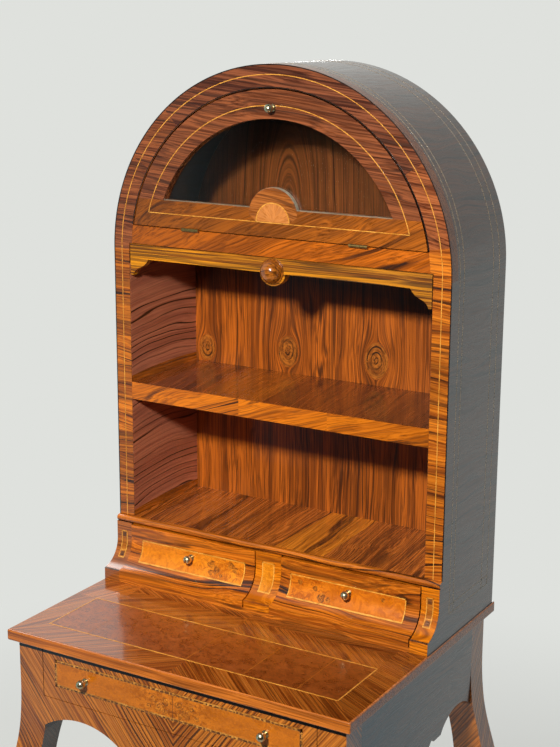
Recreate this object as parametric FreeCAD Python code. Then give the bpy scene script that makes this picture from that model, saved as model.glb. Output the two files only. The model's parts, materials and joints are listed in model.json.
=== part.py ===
import FreeCAD, Part
import math
import os

V = FreeCAD.Vector

os.makedirs("parts", exist_ok=True)

# Lady's writing desk on four cabriole legs with an arched case standing on it.
# Millimetres. X runs to the right, Y to the back, Z up from the floor.
# The origin lies on the floor under the middle of the table frame.

# Table
TABLE_H = 760.0
TOP_W = 584.0
TOP_D = 484.0
TOP_T = 17.0
TOP_EDGE_R = 2.5
SIDE_OVERHANG = 12.0
END_OVERHANG = 13.5
POST = 44.0
APRON_T = 20.0
TENON_T = 8.0
TENON_L = 20.0
TENON_SHOULDER = 8.0

# Cabriole leg: distances outwards from the frame's face, and heights
FLARE_DROP_SIDE = 88.0
FLARE_DROP_FRONT = 150.0
KNEE_DROP = 285.0
KNEE_OUT = 24.0
KNEE_W = 52.0
INNER_START = 156.0
SHIN_OUT = 0.0
SHIN_W = 35.0
ANKLE_H = 96.0
ANKLE_OUT = -21.0
ANKLE_W = 24.0
TOE_H = 9.0
TOE_OUT = -7.0
FOOT_W = 28.0

# Aprons: drops are measured down from the writing surface
FRIEZE_DRAWER_DROP = 100.0
FRONT_ARCH_END = 148.0
FRONT_ARCH_RISE = 22.0
FRONT_CUSP_OUT = 92.0
FRONT_CUSP_IN = 70.0
FRONT_LOBE_HALF = 62.0
FRONT_LOBE_DROP = 172.0
SIDE_ARCH_END = 154.0
SIDE_ARCH_RISE = 18.0
SIDE_CUSP_OUT = 77.0
SIDE_CUSP_IN = 52.0
SIDE_LOBE_HALF = 45.0
SIDE_LOBE_DROP = 174.0
CUSP_DEPTH = 7.0
CUSP_RUN = 6.0
BACK_APRON_DROP = 140.0

# Case
CASE_SIDE_INSET = 2.0
CASE_D = 192.0
CASE_BACK_INSET = 7.5
SIDE_T = 29.0
SPRING_H = 540.0
BACK_T = 8.0
BACK_REBATE = 9.0
HOUSING = 5.0
HOUSING_STOP = 15.0
SHELF_H = 298.0
SHELF_T = 28.0
LUNETTE_FLOOR_T = 16.0

# Base with the two small drawers: distances forward of the stiles, heights above the table
BASE_H = 100.0
FLOOR_T = 10.0
NOSE_OUT = 8.8
BASE_UPPER_OUT = 8.5
BASE_TOE_OUT = 45.0
COVE_TOP = 62.0
TOE_LIP_H = 19.5
BASE_BOARD_T = 8.0
DIVIDER_W = 46.0
DIVIDER_POST_D = 14.0
GUIDE_H = 20.0
SMALL_FRONT_PROUD = 2.0
SMALL_FRONT_BACK = 8.0

# Lunette door, and the rail that it is hinged to, above the spring of the arch
RING_W = 34.0
RING_T = 20.0
RAIL_UP = 10.0
RAIL_H = 28.5
DOOR_HINGE_GAP = 1.5
DOOR_GAP = 2.0
DOOR_T = 18.0
DOOR_BEVEL = 3.5
DOOR_FACE_W = 42.0
DOOR_RAIL_W = 41.5
BUMP_R = 41.5
BUMP_RISE = 31.0
GLASS_FRONT = 8.0
GLASS_T = 3.0
GLASS_REBATE = 5.0
GLASS_GAP = 0.3
BEAD_D = 6.0
STOP_W = 15.0
STOP_T = 10.0
DOOR_KNOB_IN = 26.0

# Butt hinges
HINGE_IN = 112.0
HINGE_L = 30.0
HINGE_KNUCKLES = 5
KNUCKLE_R = 2.6
KNUCKLE_GAP = 0.2
HINGE_AXIS_OUT = 3.0
PIN_R = 1.1
PIN_PLAY = 0.3
LEAF_D = 14.0
LEAF_T = 1.2
LEAF_SCREW_X = 9.0
LEAF_SCREW_Y = 9.0
LEAF_SCREW_R = 1.2
LEAF_SCREW_HEAD_R = 2.3
LEAF_SCREW_L = 9.0

# Pull-out slide
SLIDE_FRONT_T = 14.0
SLIDE_FRONT_H = 22.6
SLIDE_TOP_GAP = 1.0
SLIDE_SIDE_GAP = 1.5
BRACKET_DROP = 26.4
BRACKET_W = 34.0
BRACKET_TIP = 5.5
BRACKET_MID_W = 19.5
BRACKET_MID_DROP = 13.4
BRACKET_STEP = 2.4
BRACKET_BOW = 1.7
SLIDE_BOARD_T = 13.0
SLIDE_BACK_GAP = 8.0
SLIDE_BOARD_SIDE_GAP = 2.5
SLIDE_BOARD_TOP_GAP = 2.0
SLIDE_TONGUE = 6.0
SLIDE_RUNNER_W = 18.0
SLIDE_RUNNER_H = 14.7
BOSS_R = 22.5
BOSS_UP = 3.2
TURNED_FLANGE_R = 19.4
TURNED_FLANGE_T = 3.0
TURNED_DOME_R = 18.0
TURNED_SPIGOT_R = 5.0

# Drawer boxes
RUN_GAP = 0.3
SMALL_SIDE_GAP = 1.0
SMALL_TOP_GAP = 2.0
SMALL_BOTTOM_GAP = 1.0
SMALL_BACK_GAP = 14.0
SMALL_SIDE_H = 66.0
SMALL_SIDE_T = 8.0
FRIEZE_FRONT_T = 20.0
FRIEZE_FRONT_GAP = 1.0
FRIEZE_TOP_GAP = 3.0
FRIEZE_BACK_GAP = 32.0
FRIEZE_SIDE_T = 10.0
FRIEZE_SIDE_H = 64.0
FRIEZE_SIDE_INSET = 5.0
FRIEZE_LIFT = 4.0
DRAWER_BOTTOM_T = 4.0
DRAWER_BOTTOM_UP = 5.0
DRAWER_GROOVE = 4.0
DRAWER_LAP = 6.0
RUNNER_W = 48.0
RUNNER_T = 14.0
RUNNER_GUIDE_H = 20.0
GUIDE_GAP = 1.0
KICKER_T = 13.0

# Brass knobs
KNOB_R = 6.8
KNOB_STAND = 12.6
KNOB_BASE_R = 5.4
KNOB_BASE_T = 2.0
KNOB_NECK_R = 3.2
KNOB_SHANK_R = 2.0
KNOB_SHANK_L = 12.0
FRIEZE_KNOB_IN = 80.0
FRIEZE_KNOB_DROP = 57.0
SMALL_KNOB_H = 55.0

# Screws that hold the case on the table
CASE_SCREW_IN = 61.0
CASE_SCREW_FRONT = 40.0
CASE_SCREW_BACK = 34.0
CASE_SCREW_R = 2.2
CASE_SCREW_HEAD_R = 4.4
CASE_SCREW_HEAD_T = 3.0
CASE_SCREW_L = 22.5

# Sizes that follow from the named values
FRAME_X = TOP_W / 2 - SIDE_OVERHANG
FRAME_Y = TOP_D / 2 - END_OVERHANG
TOP_UNDER = TABLE_H - TOP_T
CASE_X = TOP_W / 2 - CASE_SIDE_INSET
CASE_W = 2 * CASE_X
CASE_IN = CASE_X - SIDE_T
CASE_BACK = TOP_D / 2 - CASE_BACK_INSET
STILE_Y = CASE_BACK - CASE_D
BACK_FACE = CASE_BACK - BACK_T
ARCH_Z = TABLE_H + SPRING_H
FLOOR_TOP = TABLE_H + BASE_H
FLOOR_UNDER = FLOOR_TOP - FLOOR_T
BOARD_TOP = TABLE_H + BASE_BOARD_T
RING_IN = CASE_X - RING_W
RAIL_LOW_Z = ARCH_Z + RAIL_UP
RAIL_TOP_Z = RAIL_LOW_Z + RAIL_H
DOOR_R = RING_IN - DOOR_GAP
DOOR_LOW_Z = RAIL_TOP_Z + DOOR_HINGE_GAP
SIGHT_R = DOOR_R - DOOR_FACE_W
SIGHT_Z = DOOR_LOW_Z + DOOR_RAIL_W
HINGE_X = RING_IN - HINGE_IN
HINGE_Y = STILE_Y - HINGE_AXIS_OUT
HINGE_Z = RAIL_TOP_Z + DOOR_HINGE_GAP / 2


# Drawing helpers
def box(x0, x1, y0, y1, z0, z1):
    return Part.makeBox(x1 - x0, y1 - y0, z1 - z0, V(x0, y0, z0))


def line(p, q):
    return Part.LineSegment(p, q).toShape()


def arc(p, via, q):
    return Part.Arc(p, via, q).toShape()


def prism(edges, direction):
    wire = Part.Wire(edges)
    return Part.Face(wire).extrude(direction)


def path(points):
    return [line(p, q) for p, q in zip(points[:-1], points[1:])]


def rod(r, length, start, direction):
    return Part.makeCylinder(r, length, start, direction)


def merged(*shapes):
    return shapes[0].fuse(list(shapes[1:])).removeSplitter()


def group(shapes):
    return Part.makeCompound(shapes)


def save(name, shape):
    shape.exportStep("parts/" + name + ".step")


SIDES = (("left", -1), ("right", 1))


# Cabriole leg: one outline, sawn from the front and from the side
def leg_edges(place, flare_drop):
    knee_z = TABLE_H - KNEE_DROP
    shin_z = (knee_z + ANKLE_H) / 2
    down = place(0, -1) - place(0, 0)
    outer = Part.BSplineCurve()
    outer.interpolate(
        Points=[
            place(0, TABLE_H - flare_drop),
            place(KNEE_OUT, knee_z),
            place(SHIN_OUT, shin_z),
            place(ANKLE_OUT, ANKLE_H),
            place(TOE_OUT, TOE_H),
        ],
        InitialTangent=down,
        FinalTangent=down,
    )
    inner = Part.BSplineCurve()
    inner.interpolate(
        Points=[
            place(-POST, TABLE_H - INNER_START),
            place(KNEE_OUT - KNEE_W, knee_z),
            place(SHIN_OUT - SHIN_W, shin_z),
            place(ANKLE_OUT - ANKLE_W, ANKLE_H),
            place(TOE_OUT - FOOT_W, 0),
        ],
        InitialTangent=down,
    )
    return [
        line(place(0, TOP_UNDER), place(0, TABLE_H - flare_drop)),
        outer.toShape(),
        line(place(TOE_OUT, TOE_H), place(TOE_OUT, 0)),
        line(place(TOE_OUT, 0), place(TOE_OUT - FOOT_W, 0)),
        inner.toShape(),
        line(place(-POST, TABLE_H - INNER_START), place(-POST, TOP_UNDER)),
        line(place(-POST, TOP_UNDER), place(0, TOP_UNDER)),
    ]


def leg(sx, sy):
    reach = 2 * (KNEE_OUT + POST + KNEE_W)

    def front_view(u, z):
        return V(sx * (FRAME_X + u), sy * FRAME_Y - reach / 2, z)

    def side_view(u, z):
        return V(sx * FRAME_X - reach / 2, sy * (FRAME_Y + u), z)

    sawn_front = prism(leg_edges(front_view, FLARE_DROP_SIDE), V(0, reach, 0))
    sawn_side = prism(leg_edges(side_view, FLARE_DROP_FRONT), V(reach, 0, 0))
    return sawn_front.common(sawn_side)


# Shaped lower edge of an apron, from one leg to the other
def apron_edges(place, half, top, end, rise, cusp_out, cusp_in, lobe_half, lobe_drop):
    z_end = TABLE_H - end
    z_cusp = z_end - CUSP_DEPTH
    z_top = TABLE_H - end + rise
    arch_in = cusp_out + CUSP_RUN
    arch_mid = (half + arch_in) / 2
    right = [
        arc(place(half, z_end), place(arch_mid, z_top), place(arch_in, z_end)),
        line(place(arch_in, z_end), place(cusp_out, z_cusp)),
        line(place(cusp_out, z_cusp), place(cusp_in, z_cusp)),
        line(place(cusp_in, z_cusp), place(lobe_half, z_end)),
    ]
    lobe = arc(place(lobe_half, z_end), place(0, TABLE_H - lobe_drop), place(-lobe_half, z_end))
    left = [
        line(place(-lobe_half, z_end), place(-cusp_in, z_cusp)),
        line(place(-cusp_in, z_cusp), place(-cusp_out, z_cusp)),
        line(place(-cusp_out, z_cusp), place(-arch_in, z_end)),
        arc(place(-arch_in, z_end), place(-arch_mid, z_top), place(-half, z_end)),
    ]
    top_edges = path([place(-half, z_end), place(-half, top), place(half, top), place(half, z_end)])
    return right + [lobe] + left + top_edges


FRONT_HALF = FRAME_X - POST
SIDE_HALF = FRAME_Y - POST
FRIEZE_RAIL_Z = TABLE_H - FRIEZE_DRAWER_DROP
TENON_IN = (APRON_T - TENON_T) / 2


def front_apron():
    def place(t, z):
        return V(t, -FRAME_Y, z)

    edges = apron_edges(
        place, FRONT_HALF, FRIEZE_RAIL_Z, FRONT_ARCH_END, FRONT_ARCH_RISE,
        FRONT_CUSP_OUT, FRONT_CUSP_IN, FRONT_LOBE_HALF, FRONT_LOBE_DROP,
    )
    body = prism(edges, V(0, APRON_T, 0))
    tenon = box(
        -FRONT_HALF - TENON_L, FRONT_HALF + TENON_L,
        -FRAME_Y + TENON_IN, -FRAME_Y + TENON_IN + TENON_T,
        TABLE_H - FRONT_ARCH_END + FRONT_ARCH_RISE + 1, FRIEZE_RAIL_Z - TENON_SHOULDER,
    )
    return merged(body, tenon)


def side_apron(sx):
    outer = sx * FRAME_X
    inner = sx * (FRAME_X - APRON_T)

    def place(t, z):
        return V(outer, t, z)

    edges = apron_edges(
        place, SIDE_HALF, TOP_UNDER, SIDE_ARCH_END, SIDE_ARCH_RISE,
        SIDE_CUSP_OUT, SIDE_CUSP_IN, SIDE_LOBE_HALF, SIDE_LOBE_DROP,
    )
    body = prism(edges, V(inner - outer, 0, 0))
    near = outer - sx * TENON_IN
    far = near - sx * TENON_T
    tenon = box(
        min(near, far), max(near, far), -SIDE_HALF - TENON_L, SIDE_HALF + TENON_L,
        TABLE_H - SIDE_ARCH_END + SIDE_ARCH_RISE + 1, TOP_UNDER - TENON_SHOULDER,
    )
    return merged(body, tenon)


def back_apron():
    low = TABLE_H - BACK_APRON_DROP
    body = box(-FRONT_HALF, FRONT_HALF, FRAME_Y - APRON_T, FRAME_Y, low, TOP_UNDER)
    tenon = box(
        -FRONT_HALF - TENON_L, FRONT_HALF + TENON_L,
        FRAME_Y - TENON_IN - TENON_T, FRAME_Y - TENON_IN,
        low + TENON_SHOULDER, TOP_UNDER - TENON_SHOULDER,
    )
    return merged(body, tenon)


# Brass knob pointing to the front, with a shank that enters the wood
def brass_knob(x, y, z):
    out = V(0, -1, 0)
    shank = rod(KNOB_SHANK_R, KNOB_SHANK_L + KNOB_BASE_T, V(x, y + KNOB_SHANK_L, z), out)
    base = rod(KNOB_BASE_R, KNOB_BASE_T, V(x, y, z), out)
    neck = rod(KNOB_NECK_R, KNOB_STAND, V(x, y, z), out)
    ball = Part.makeSphere(KNOB_R, V(x, y - KNOB_STAND, z))
    return merged(shank, base, neck, ball)


# Drawer box behind a front: sides lap into the front, the bottom runs in grooves
def drawer_box(x0, x1, y0, y1, z0, side_h, side_t):
    bottom_z = z0 + DRAWER_BOTTOM_UP
    bottom = box(
        x0 + side_t - DRAWER_GROOVE, x1 - side_t + DRAWER_GROOVE, y0 - DRAWER_GROOVE, y1,
        bottom_z, bottom_z + DRAWER_BOTTOM_T,
    )
    left = box(x0, x0 + side_t, y0 - DRAWER_LAP, y1, z0, z0 + side_h).cut(bottom)
    right = box(x1 - side_t, x1, y0 - DRAWER_LAP, y1, z0, z0 + side_h).cut(bottom)
    back = box(x0 + side_t, x1 - side_t, y1 - side_t, y1, bottom_z + DRAWER_BOTTOM_T, z0 + side_h)
    return left, right, back, bottom


def save_drawer(name, front, parts, knobs):
    left, right, back, bottom = parts
    save(name + "_front", front.cut([left, right, bottom] + knobs))
    save(name + "_side_left", left)
    save(name + "_side_right", right)
    save(name + "_back", back)
    save(name + "_bottom", bottom)


# Front outline of the base: upright face, cove, upright toe
def base_front(x, proud):
    run = BASE_TOE_OUT - BASE_UPPER_OUT
    drop = COVE_TOP - TOE_LIP_H
    r = (run * run + drop * drop) / (2 * run)
    centre_y = STILE_Y - BASE_UPPER_OUT - r
    centre_z = TABLE_H + COVE_TOP
    r_here = r - proud
    lip_y = STILE_Y - BASE_TOE_OUT - proud
    turn = math.acos((lip_y - centre_y) / r_here)

    def on_cove(angle):
        return V(x, centre_y + r_here * math.cos(angle), centre_z - r_here * math.sin(angle))

    upper_y = centre_y + r_here
    cove = arc(on_cove(0), on_cove(turn / 2), on_cove(turn))
    return upper_y, lip_y, on_cove(0), cove, on_cove(turn)


def base_prism(x0, x1, proud, back_y, low, high):
    upper_y, lip_y, cove_top, cove, cove_low = base_front(x0, proud)
    edges = [
        line(V(x0, back_y, high), V(x0, upper_y, high)),
        line(V(x0, upper_y, high), cove_top),
        cove,
        line(cove_low, V(x0, lip_y, low)),
        line(V(x0, lip_y, low), V(x0, back_y, low)),
        line(V(x0, back_y, low), V(x0, back_y, high)),
    ]
    return prism(edges, V(x1 - x0, 0, 0))


# Board housed in both case sides, its housing stopped behind the front edge
def housed_board(front_y, low, high):
    body = box(-CASE_IN, CASE_IN, front_y, BACK_FACE, low, high)
    tongue = box(
        -CASE_IN - HOUSING, CASE_IN + HOUSING, STILE_Y + HOUSING_STOP, BACK_FACE, low, high
    )
    return merged(body, tongue)


# Round pieces of the arch, all about the same centre
def disc(r, y0, y1):
    return rod(r, y1 - y0, V(0, y0, ARCH_Z), V(0, 1, 0))


def above(shape, z):
    big = 2 * CASE_W
    return shape.common(box(-big, big, -big, big, z, z + big))


def segment(r, z, y0, y1):
    return above(disc(r, y0, y1), z)


# Upper case
base_board = housed_board(STILE_Y - BASE_TOE_OUT, TABLE_H, BOARD_TOP)
case_floor = housed_board(STILE_Y, FLOOR_UNDER, FLOOR_TOP)
middle_shelf = housed_board(STILE_Y, TABLE_H + SHELF_H, TABLE_H + SHELF_H + SHELF_T)

back_x = CASE_IN + BACK_REBATE
case_back = merged(
    box(-back_x, back_x, BACK_FACE, CASE_BACK, TABLE_H, ARCH_Z),
    segment(back_x, ARCH_Z, BACK_FACE, CASE_BACK),
)


def case_side(sx):
    x0 = min(sx * CASE_IN, sx * CASE_X)
    x1 = max(sx * CASE_IN, sx * CASE_X)
    foot = base_prism(x0, x1, 0, CASE_BACK, TABLE_H, FLOOR_UNDER)
    panel = box(x0, x1, STILE_Y, CASE_BACK, TABLE_H, ARCH_Z)
    return merged(foot, panel).cut([base_board, case_floor, middle_shelf, case_back])


divider_x = DIVIDER_W / 2
base_divider = merged(
    base_prism(-divider_x, divider_x, 0, STILE_Y + DIVIDER_POST_D, BOARD_TOP, FLOOR_UNDER),
    box(-divider_x, divider_x, STILE_Y, BACK_FACE, BOARD_TOP, BOARD_TOP + GUIDE_H),
)

nose_r = FLOOR_T / 2
nose_y = STILE_Y - NOSE_OUT + nose_r
nose_round = rod(nose_r, CASE_W, V(-CASE_X, nose_y, FLOOR_UNDER + nose_r), V(1, 0, 0))
nose_front = box(-CASE_X, CASE_X, nose_y - nose_r, nose_y, FLOOR_UNDER, FLOOR_TOP)
floor_nose = merged(
    box(-CASE_X, CASE_X, nose_y, STILE_Y, FLOOR_UNDER, FLOOR_TOP), nose_round.common(nose_front)
)

ring_back = STILE_Y + RING_T
arch_top = segment(CASE_X, ARCH_Z, ring_back, CASE_BACK)
arch_top = arch_top.cut([disc(CASE_IN, ring_back, CASE_BACK), case_back])

slide_space = box(-CASE_IN, CASE_IN, STILE_Y, ring_back, ARCH_Z, RAIL_LOW_Z)
arch_ring = segment(CASE_X, ARCH_Z, STILE_Y, ring_back)
arch_ring = arch_ring.cut([disc(RING_IN, STILE_Y, ring_back), slide_space])

rail_blank = box(-RING_IN, RING_IN, STILE_Y, ring_back, RAIL_LOW_Z, RAIL_TOP_Z)
door_rail = rail_blank.common(disc(RING_IN, STILE_Y, ring_back))

lunette_top = RAIL_LOW_Z + LUNETTE_FLOOR_T
floor_blank = box(-CASE_IN, CASE_IN, ring_back, BACK_FACE, RAIL_LOW_Z, lunette_top)
lunette_floor = floor_blank.common(disc(CASE_IN, ring_back, BACK_FACE))

stop_y = STILE_Y + max(RING_T, DOOR_T + RUN_GAP)
door_stop = segment(CASE_IN, lunette_top, stop_y, stop_y + STOP_T)
door_stop = door_stop.cut(disc(CASE_IN - STOP_W, stop_y, stop_y + STOP_T))


# Butt hinges: knuckles alternate between the leaf on the rail and the leaf on the door
def hinge_leaf(x, plate_low, first):
    pitch = HINGE_L / HINGE_KNUCKLES
    x0 = x - HINGE_L / 2
    pieces = [box(x0, x0 + HINGE_L, STILE_Y, STILE_Y + LEAF_D, plate_low, plate_low + LEAF_T)]
    for index in range(first, HINGE_KNUCKLES, 2):
        k0 = x0 + index * pitch + KNUCKLE_GAP / 2
        k1 = x0 + (index + 1) * pitch - KNUCKLE_GAP / 2
        pieces.append(rod(KNUCKLE_R, k1 - k0, V(k0, HINGE_Y, HINGE_Z), V(1, 0, 0)))
        pieces.append(box(k0, k1, HINGE_Y, STILE_Y, plate_low, plate_low + LEAF_T))
    return merged(*pieces)


def hinge_pin(x, play):
    return rod(PIN_R + play, HINGE_L, V(x - HINGE_L / 2, HINGE_Y, HINGE_Z), V(1, 0, 0))


def leaf_screw(x, z, direction):
    start = V(x, STILE_Y + LEAF_SCREW_Y, z)
    axis = V(0, 0, direction)
    head = Part.makeCone(LEAF_SCREW_HEAD_R, LEAF_SCREW_R, LEAF_T, start, axis)
    return merged(head, rod(LEAF_SCREW_R, LEAF_SCREW_L, start, axis))


hinge_xs = (-HINGE_X, HINGE_X)
screw_xs = [x + step for x in hinge_xs for step in (-LEAF_SCREW_X, LEAF_SCREW_X)]
screws_case = [leaf_screw(x, RAIL_TOP_Z, -1) for x in screw_xs]
screws_door = [leaf_screw(x, DOOR_LOW_Z, 1) for x in screw_xs]
pins = [hinge_pin(x, 0) for x in hinge_xs]
leaves_case = [hinge_leaf(x, RAIL_TOP_Z - LEAF_T, 0).cut(pins + screws_case) for x in hinge_xs]
loose_pins = [hinge_pin(x, PIN_PLAY) for x in hinge_xs]
leaves_door = [hinge_leaf(x, DOOR_LOW_Z, 1).cut(loose_pins + screws_door) for x in hinge_xs]
door_rail = door_rail.cut(leaves_case + screws_case)

# Lunette door: its edge is bevelled so that it clears the ring as it falls open
door_back = STILE_Y + DOOR_T
door_blank = Part.makeCone(
    DOOR_R, DOOR_R - DOOR_BEVEL, DOOR_T, V(0, STILE_Y, ARCH_Z), V(0, 1, 0)
)
bump_z = SIGHT_Z + BUMP_RISE - BUMP_R
bump = rod(BUMP_R, DOOR_T, V(0, STILE_Y, bump_z), V(0, 1, 0))
sight = segment(SIGHT_R, SIGHT_Z, STILE_Y, door_back).cut(bump)
glass_y = STILE_Y + GLASS_FRONT
rebate = segment(SIGHT_R + GLASS_REBATE, SIGHT_Z - GLASS_REBATE, glass_y, door_back)
door_frame = above(door_blank, DOOR_LOW_Z).cut([sight, rebate])
rail_zone = merged(
    box(-CASE_X, CASE_X, STILE_Y, door_back, DOOR_LOW_Z, SIGHT_Z),
    box(-BUMP_R, BUMP_R, STILE_Y, door_back, DOOR_LOW_Z, SIGHT_Z + BUMP_RISE),
)
pane_r = SIGHT_R + GLASS_REBATE - GLASS_GAP
pane_z = SIGHT_Z - GLASS_REBATE + GLASS_GAP
bead_y = glass_y + GLASS_T
door_glass = segment(pane_r, pane_z, glass_y, bead_y)
bead_blank = segment(SIGHT_R + GLASS_REBATE, SIGHT_Z - GLASS_REBATE, bead_y, bead_y + BEAD_D)
glazing_bead = bead_blank.cut(segment(SIGHT_R, SIGHT_Z, bead_y, bead_y + BEAD_D))
door_knob = brass_knob(0, STILE_Y, ARCH_Z + DOOR_R - DOOR_KNOB_IN)
door_bottom_rail = door_frame.common(rail_zone).cut(leaves_door + screws_door)
door_arch = door_frame.cut([rail_zone, door_knob])

# Pull-out slide under the lunette, with bracket ends on its front
slide_x = CASE_IN - SLIDE_SIDE_GAP
slide_top = RAIL_LOW_Z - SLIDE_TOP_GAP
slide_low = slide_top - SLIDE_FRONT_H
tip_z = slide_low - BRACKET_DROP


def bowed(a, b, bow):
    chord = b - a
    across = V(chord.z, 0, -chord.x)
    return (a + b) * 0.5 + across * (bow / chord.Length)


def bracket(sx):
    start = V(sx * (slide_x - BRACKET_W), STILE_Y, slide_low)
    mid = V(sx * (slide_x - BRACKET_MID_W), STILE_Y, slide_low - BRACKET_MID_DROP)
    step = V(sx * (slide_x - BRACKET_TIP), STILE_Y, tip_z + BRACKET_STEP)
    tip = V(step.x, STILE_Y, tip_z)
    swell = arc(start, bowed(start, mid, sx * BRACKET_BOW), mid)
    scoop = arc(mid, bowed(mid, step, -sx * BRACKET_BOW), step)
    return [swell, scoop, line(step, tip)], start, tip, V(sx * slide_x, STILE_Y, tip_z)


ogee_r, start_r, tip_r, corner_r = bracket(1)
ogee_l, start_l, tip_l, corner_l = bracket(-1)
slide_edges = [line(start_l, start_r)] + ogee_r + [line(tip_r, corner_r)]
slide_edges += path([corner_r, V(slide_x, STILE_Y, slide_top), V(-slide_x, STILE_Y, slide_top), corner_l])
slide_edges += [line(corner_l, tip_l)] + ogee_l
board_x = CASE_IN - SLIDE_BOARD_SIDE_GAP
board_top = RAIL_LOW_Z - SLIDE_BOARD_TOP_GAP
board_low = board_top - SLIDE_BOARD_T
board_y = STILE_Y + SLIDE_FRONT_T
slide_board = box(
    -board_x, board_x, board_y - SLIDE_TONGUE, BACK_FACE - SLIDE_BACK_GAP, board_low, board_top
)


# Turned knob: spigot, round flange and dome, turned about one axis
def turned_knob(z):
    root = V(0, STILE_Y + SLIDE_FRONT_T - SLIDE_TONGUE, z)
    out = V(0, -1, 0)
    dome_y = STILE_Y - TURNED_FLANGE_T / 2
    spigot = rod(TURNED_SPIGOT_R, root.y - STILE_Y + TURNED_FLANGE_T, root, out)
    flange = rod(TURNED_FLANGE_R, TURNED_FLANGE_T, V(0, STILE_Y, z), out)
    ball = Part.makeSphere(TURNED_DOME_R, V(0, dome_y, z))
    reach = 2 * TURNED_DOME_R
    front = box(-reach, reach, dome_y - reach, dome_y, z - reach, z + reach)
    return merged(spigot, flange, ball.common(front))


boss_z = slide_low + BOSS_UP
slide_knob = turned_knob(boss_z)
boss = rod(BOSS_R, SLIDE_FRONT_T, V(0, STILE_Y, boss_z), V(0, 1, 0))
boss_zone = box(-BOSS_R, BOSS_R, STILE_Y, board_y, slide_low - BOSS_R, slide_top)
slide_front = merged(prism(slide_edges, V(0, SLIDE_FRONT_T, 0)), boss.common(boss_zone))
slide_front = slide_front.cut([slide_board, slide_knob])


def slide_runner(sx):
    near = sx * CASE_IN
    far = sx * (CASE_IN - SLIDE_RUNNER_W)
    top = board_low - RUN_GAP
    front_y = STILE_Y + SLIDE_FRONT_T + SLIDE_SIDE_GAP
    return box(min(near, far), max(near, far), front_y, BACK_FACE, top - SLIDE_RUNNER_H, top)


# Small drawers in the base
def small_drawer(name, sx):
    near = sx * (divider_x + SMALL_SIDE_GAP)
    far = sx * (CASE_IN - SMALL_SIDE_GAP)
    x0 = min(near, far)
    x1 = max(near, far)
    box_y = STILE_Y + SMALL_FRONT_BACK
    box_end = BACK_FACE - SMALL_BACK_GAP
    parts = drawer_box(x0, x1, box_y, box_end, BOARD_TOP + RUN_GAP, SMALL_SIDE_H, SMALL_SIDE_T)
    front = base_prism(
        x0, x1, SMALL_FRONT_PROUD, box_y, BOARD_TOP + SMALL_BOTTOM_GAP, FLOOR_UNDER - SMALL_TOP_GAP
    )
    upper_y = base_front(x0, SMALL_FRONT_PROUD)[0]
    knob = brass_knob((x0 + x1) / 2, upper_y, TABLE_H + SMALL_KNOB_H)
    save_drawer(name, front, parts, [knob])
    save(name + "_knob", knob)


# Wide drawer in the frieze, on runners between the legs
frieze_x = FRONT_HALF - FRIEZE_FRONT_GAP
frieze_box_x = frieze_x - FRIEZE_SIDE_INSET
frieze_box_z = FRIEZE_RAIL_Z + FRIEZE_LIFT


def frieze_drawer(name):
    box_y = -FRAME_Y + FRIEZE_FRONT_T
    box_end = FRAME_Y - APRON_T - FRIEZE_BACK_GAP
    parts = drawer_box(
        -frieze_box_x, frieze_box_x, box_y, box_end, frieze_box_z, FRIEZE_SIDE_H, FRIEZE_SIDE_T
    )
    front = box(
        -frieze_x, frieze_x, -FRAME_Y, box_y, FRIEZE_RAIL_Z + FRIEZE_FRONT_GAP, TOP_UNDER - FRIEZE_TOP_GAP
    )
    knob_z = TABLE_H - FRIEZE_KNOB_DROP
    knob_x = frieze_x - FRIEZE_KNOB_IN
    knobs = [brass_knob(x, -FRAME_Y, knob_z) for x in (-knob_x, knob_x)]
    save_drawer(name, front, parts, knobs)
    save(name + "_knobs", group(knobs))


def runner(sx):
    outer = FRAME_X - APRON_T
    inner = outer - RUNNER_W
    guide_in = frieze_box_x + GUIDE_GAP
    top = frieze_box_z - RUN_GAP
    front_y = -FRAME_Y + APRON_T

    def strip(a, b, y0, y1, z0, z1):
        return box(min(sx * a, sx * b), max(sx * a, sx * b), y0, y1, z0, z1)

    return merged(
        strip(inner, outer, -SIDE_HALF, SIDE_HALF, top - RUNNER_T, top),
        strip(inner, FRONT_HALF, front_y, -SIDE_HALF, top - RUNNER_T, top),
        strip(guide_in, outer, -SIDE_HALF, SIDE_HALF, top, top + RUNNER_GUIDE_H),
    )


def kicker(sx):
    outer = sx * (FRAME_X - APRON_T)
    inner = outer - sx * RUNNER_W
    return box(
        min(outer, inner), max(outer, inner), -SIDE_HALF, SIDE_HALF, TOP_UNDER - KICKER_T, TOP_UNDER
    )


def case_screw(x, y):
    start = V(x, y, TOP_UNDER)
    up = V(0, 0, 1)
    head = Part.makeCone(CASE_SCREW_HEAD_R, CASE_SCREW_R, CASE_SCREW_HEAD_T, start, up)
    return merged(head, rod(CASE_SCREW_R, CASE_SCREW_L, start, up))


# Table
screw_x = CASE_IN - CASE_SCREW_IN
screw_ys = (STILE_Y + CASE_SCREW_FRONT, BACK_FACE - CASE_SCREW_BACK)
case_screws = [case_screw(x, y) for x in (-screw_x, screw_x) for y in screw_ys]
table_top = box(-TOP_W / 2, TOP_W / 2, -TOP_D / 2, TOP_D / 2, TOP_UNDER, TABLE_H)
table_top = table_top.makeFillet(TOP_EDGE_R, table_top.Edges).cut(case_screws)
aprons = {
    "front_apron": front_apron(),
    "side_apron_left": side_apron(-1),
    "side_apron_right": side_apron(1),
    "back_apron": back_apron(),
}

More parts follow.
